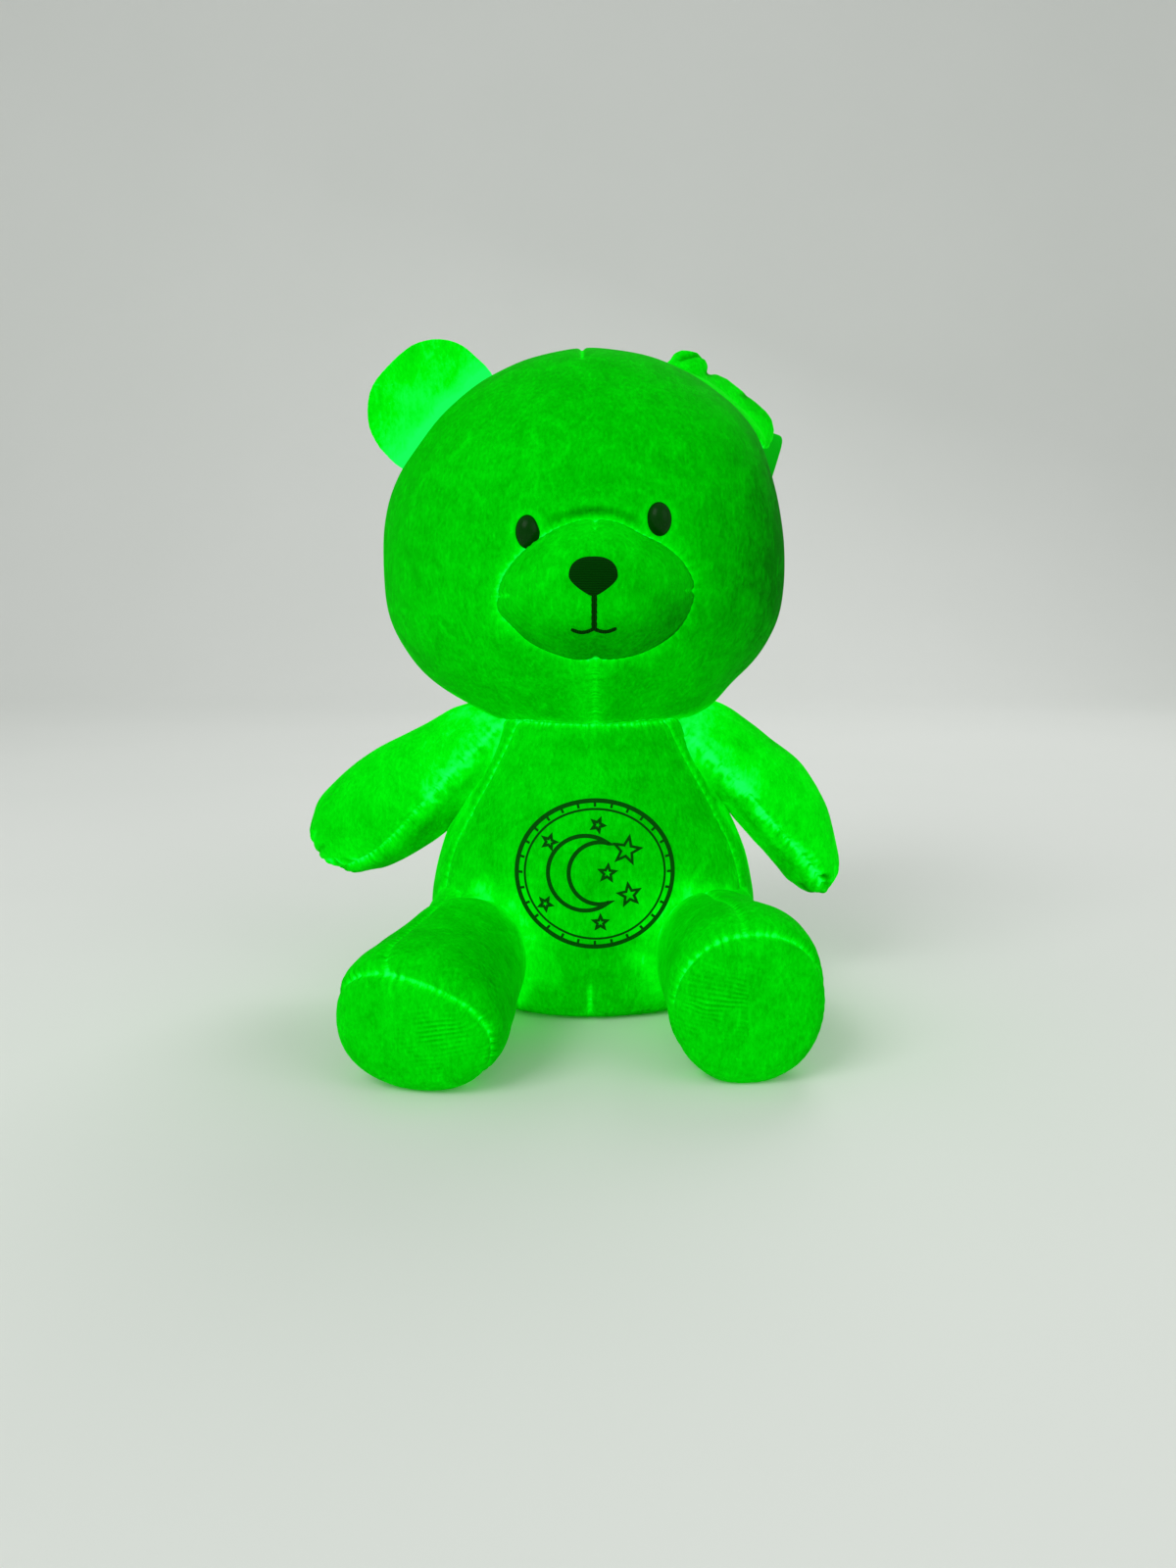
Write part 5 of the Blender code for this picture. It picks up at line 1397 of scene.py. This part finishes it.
def leg(name):
    """A leg: its cover, a seam along its top, and a sole panel sewn round the edge."""
    data = LEGS[name]
    side = data["side"]
    hip = np.array(HIP) * (side, 1, 1)
    sx, sz = data["sole"]
    forward = math.sqrt(data["length"] ** 2 - (sx - hip[0]) ** 2 - (sz - hip[2]) ** 2)
    sole = np.array([sx, hip[1] - forward, sz])
    along = unit(sole - hip)
    across = unit(np.cross(np.array([0, 0, 1.0]), along))
    up = np.cross(along, across)
    wide, high, length = data["wide"], data["high"], data["length"]
    keys = [(-24, 0, 0), (-22.5, 8, 8), (-17, 17, 17), (-8, 22.6, 22.6), (0, 23.6, 23.6)]
    for share, towards, size in LEG_SHARES:
        keys.append((length * share, *((LEG_THICK + (half - LEG_THICK) * towards) * size
                                       for half in (wide, high))))
    keys.append((length * 1.008, 0, 0))
    rows, cols = int(240 * FINE), int(280 * FINE)
    ring = spline(np.array(keys), rows)
    angle = circle(cols)
    # A foot is a little squarer than an oval
    cosine = powered(np.cos(angle), 0.94)[None, :, None]
    sine = powered(np.sin(angle), 0.94)[None, :, None]
    ring = ring[..., None]
    grid = MM * (hip + ring[:, :1] * along + across * cosine * np.maximum(ring[:, 1:2], 0)
                 + up * sine * np.maximum(ring[:, 2:], 0))
    close_ends(grid)
    cloth = Cloth(grid)
    held = clamp(1 - (ring[:, 0] - 2) / 14) * np.ones(cols)
    fill(cloth, held, pressure=4.0, cap=1.4, step=5)
    # The sole's seam lies in a plane that leans forward at the top
    here = cloth.grid / MM - hip
    forth, over, rise = here @ along, here @ across, here @ up
    inset, tip, lean = data["seam"]
    plane = forth - (length - inset) - tip * rise + lean * over
    cross_rows = np.argmax(plane[: rows - 1] > 0, axis=0)
    seam = []
    for col in range(0, cols, 2):
        row = max(1, int(cross_rows[col]))
        a, b = plane[row - 1, col], plane[row, col]
        t = clamp(-a / (b - a)) if b != a else 0
        seam.append(cloth.grid[row - 1, col] * (1 - t) + cloth.grid[row, col] * t)
    low = int(len(seam) * 0.75)
    seam = np.array(seam[low:] + seam[:low + 1])
    cloth.sew(seam, depth=1.3, width=1.3, puff=0.8, gather=0.20, pitch=3.4, reach=4.5, glow=0.55,
              halo=0.08, pleats=0.7, seed=51 + side)
    top = int(data["top"] / 360 * cols)
    top_row = int(cross_rows[top])
    first = int(rows * 0.34)
    cloth.sew(cloth.grid[first:top_row, top][::4], depth=0.8, width=1.2, gather=0.15, pitch=3.0,
              glow=0.26, halo=0.08, pleats=0.7, seed=53 + side)
    under = (top + cols // 2) % cols
    cloth.sew(cloth.grid[first:int(cross_rows[under]), under][::4], depth=0.6, width=1.2, puff=0.2,
              gather=0.1, reach=5.0, glow=0.2, seed=54 + side)
    # Fine wrinkles across part of the sole, level with the floor, with painted light and shade on them
    where = cloth.grid / MM
    on_sole = clamp(plane / 3.0)
    patch = bump(where[..., 0], where[..., 2], sx - side * 13.0, sz + data["crease"], 12, 11)
    level = where[..., 2] + 0.20 * side * where[..., 0]
    wrinkle = np.sin(level * 3.9 + 3.0 * lumps(where, 6.0, 55)) * patch
    wrinkle *= clamp(0.5 + 1.2 * lumps(where, 4.0, 56))
    cloth.lift += on_sole * MM * 0.2 * wrinkle
    cloth.glow += on_sole * 0.2 * wrinkle
    cloth.soften(20, 0.7, 57 + side)
    cloth.soften(8, 0.2, 59 + side)
    cloth.charge(0.24)
    # Painted light: the sole a little brighter, the leg's cover more, most near the hip
    cloth.glow += on_sole * 0.07 + 0.08 * (1 - on_sole) + 0.10 * (1 - on_sole) * clamp(1 - forth / 70)
    cloth.open += 0.4
    # Painted highlights: bright flecks under the place where the seams meet, where the pile stands up
    knot = cloth.grid[top_row, top] / MM
    flecks = bump(where[..., 0], where[..., 2], knot[0], knot[2] - 4, 5, 5) * on_sole
    cloth.glow += 0.30 * flecks * clamp(lumps(where * np.array([1, 1, 0.4]), 1.3, 67))
    # Painted shade on the left leg, on its side towards the body's middle and nearer the foot
    if side < 0:
        cloth.glow -= 0.10 * clamp((over - 4) / 16) * (1 - on_sole) * clamp((forth - 30) / 40)
    cloth.settle()
    cloth.grid[..., 2] = np.maximum(cloth.grid[..., 2], 0)
    keep = face_middles(plane) < 0
    keep[: rows // 2] = True
    ends = tuple(hip * MM - along * MM * 2), tuple(hip * MM + along * MM * 30)
    piece(name + "_leg_trouser", cloth, ("torso", name + "_leg", *ends), [name + "_leg_cover"], PLUSH,
          keep=keep)
    piece(name + "_sole", cloth, name + "_leg", [name + "_sole_panel"], PANEL, keep=~keep,
          slot="plush_panel")


# The belly's print, in metres, from its own middle
PRINT_MIDDLE = np.array([0.0005, 0.0565])
RING_HALF, RING_GAP, TICKS, TICK_HALF = np.array([0.0285, 0.0265]), 0.003, 28, 0.0007
MOON_MIDDLE, MOON_RADIUS = np.array([-0.0035, 0.0005]), 0.0135
BITE_MIDDLE, BITE_RADIUS = MOON_MIDDLE + (0.0052, 0.0), 0.0112
# Place, size and turn of each star
STARS = (
    (0.0115, 0.0085, 0.0050, 0.2), (0.0125, -0.0075, 0.0040, -0.15), (0.0045, 0.0005, 0.0030, 0.1),
    (-0.0165, 0.0115, 0.0026, 0.3), (0.0020, -0.0175, 0.0026, 0.0), (-0.0180, -0.0110, 0.0024, 0.5),
    (0.0010, 0.0178, 0.0024, 0.4))
STAR_WAIST = 0.42
# How far the ink stands off the cloth
INK_LIFT = 0.00016


def oval(half, angles):
    return [PRINT_MIDDLE + half * (math.sin(a), math.cos(a)) for a in angles]


def arc(middle, radius, start, stop, count):
    return [PRINT_MIDDLE + middle + radius * np.array((math.cos(a), math.sin(a)))
            for a in np.radians(np.linspace(start, stop, count))]


def star(x, z, size, turn):
    return [PRINT_MIDDLE + (x + reach * math.sin(a), z + reach * math.cos(a))
            for reach, a in ((size * (1, STAR_WAIST)[k % 2], math.pi * k / 5 + turn) for k in range(10))]


def ribbon(points, width, closed):
    """The left and right edge of a flat line of the given width."""
    count = len(points)
    left, right = [], []
    for k, here in enumerate(points):
        before = points[(k - 1) % count] if closed else points[max(0, k - 1)]
        after = points[(k + 1) % count] if closed else points[min(count - 1, k + 1)]
        d1, d2 = unit(here - before + 1e-12), unit(after - here + 1e-12)
        if not closed and k == 0:
            d1 = d2
        if not closed and k == count - 1:
            d2 = d1
        n = unit(np.array([-(d1 + d2)[1], (d1 + d2)[0]]))
        reach = width / 2 / max(0.45, float(n @ np.array([-d1[1], d1[0]])))
        left.append(here + n * reach)
        right.append(here - n * reach)
    return left, right


def dense(points, gap=0.0008):
    """The points of a closed line, with more between them where they lie far apart."""
    out = []
    for a, b in zip(points, points[1:] + points[:1]):
        steps = max(1, int(np.linalg.norm(b - a) / gap))
        out += [a + (b - a) * i / steps for i in range(steps)]
    return out


def belly_print():
    """A plain line print: a moon and stars inside two thin rings."""
    moon = arc(MOON_MIDDLE, MOON_RADIUS, 52, 308, 44) + arc(BITE_MIDDLE, BITE_RADIUS, 292, 68, 34)
    shapes = [(oval(RING_HALF, circle(119)), 0.0016, True),
              (oval(RING_HALF - RING_GAP, circle(109)), 0.0008, True), (moon, 0.0015, True)]
    shapes += [(star(*data), 0.0010, True) for data in STARS]
    for a in circle(TICKS):
        ends = [oval(RING_HALF - RING_GAP / 2 + reach, (a,))[0] for reach in (TICK_HALF, -TICK_HALF)]
        shapes.append((ends, 0.0009, False))
    verts, faces = [], []
    for points, width, closed in shapes:
        left, right = ribbon(dense(points) if closed else points, width, closed)
        start, count = len(verts), len(left)
        for l, r in zip(left, right):
            for x, z in (l, (l + r) / 2, r):
                hit, normal = on_surface(PIECES["torso_front"], x, z)
                verts.append(hit + normal * INK_LIFT)
        for k in range(count if closed else count - 1):
            a, b = start + 3 * k, start + 3 * ((k + 1) % count)
            faces += [(a, b, b + 1, a + 1), (a + 1, b + 1, b + 2, a + 2)]
    mesh = bpy.data.meshes.new("belly_line_print")
    mesh.from_pydata(verts, [], faces)
    item = add("belly_line_print", mesh, INK)
    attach(item, "torso")


FILLINGS = {"body_filling": ("torso", "body_fibre"), "head_filling": ("head", "head_fibre")}
for limb in ("left_arm", "right_arm", "left_leg", "right_leg"):
    FILLINGS[limb + "_filling"] = (limb, limb + "_fibre")
FILLINGS["pellet_bag"] = ("torso", "seat_pellet_bag")
# How far the fibre stays inside its solid, in mm; a leg's moves past the base as it drops
FIBRE_INSET, LEG_FIBRE_INSET = 1.6, 4.0


def fibre_fill():
    """Wads of fibre and the bag of pellets inside the covers."""
    for solid, (body, name) in FILLINGS.items():
        bag = solid == "pellet_bag"
        item = add(name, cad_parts[solid].data.copy(), FIBRE)
        steps = item.modifiers.new("remesh", "REMESH")
        steps.mode = "VOXEL"
        steps.voxel_size = 0.0025 if bag else 0.004
        graph = bpy.context.evaluated_depsgraph_get()
        made = bpy.data.meshes.new_from_object(item.evaluated_get(graph))
        item.modifiers.clear()
        item.data = made
        made.materials.clear()
        made.materials.append(FIBRE)
        co = np.array([v.co for v in made.vertices])
        out = np.array([v.normal for v in made.vertices])
        size, depth = (3.0, 0.5) if bag else (6.0, 0.8)
        inset = LEG_FIBRE_INSET if "leg" in solid else FIBRE_INSET
        co = co - out * MM * (inset + depth * lumps(co / MM, size, 61)[:, None])
        made.vertices.foreach_set("co", co.astype(np.float32).ravel())
        made.shade_smooth()
        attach(item, body)
        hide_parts(solid)


studio()
torso()
head()
muzzle()
for side_name in ("left", "right"):
    ear(side_name)
    arm(side_name)
    leg(side_name)
light_hollows()
finish_pieces()
eye(-1)
eye(1)
nose(PIECES["muzzle_cover"])
mouth(PIECES["muzzle_cover"])
ear_card()
belly_print()
fibre_fill()
for washer in ("left_eye_washer", "right_eye_washer"):
    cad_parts[washer].data.materials.clear()
    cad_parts[washer].data.materials.append(WHITE)
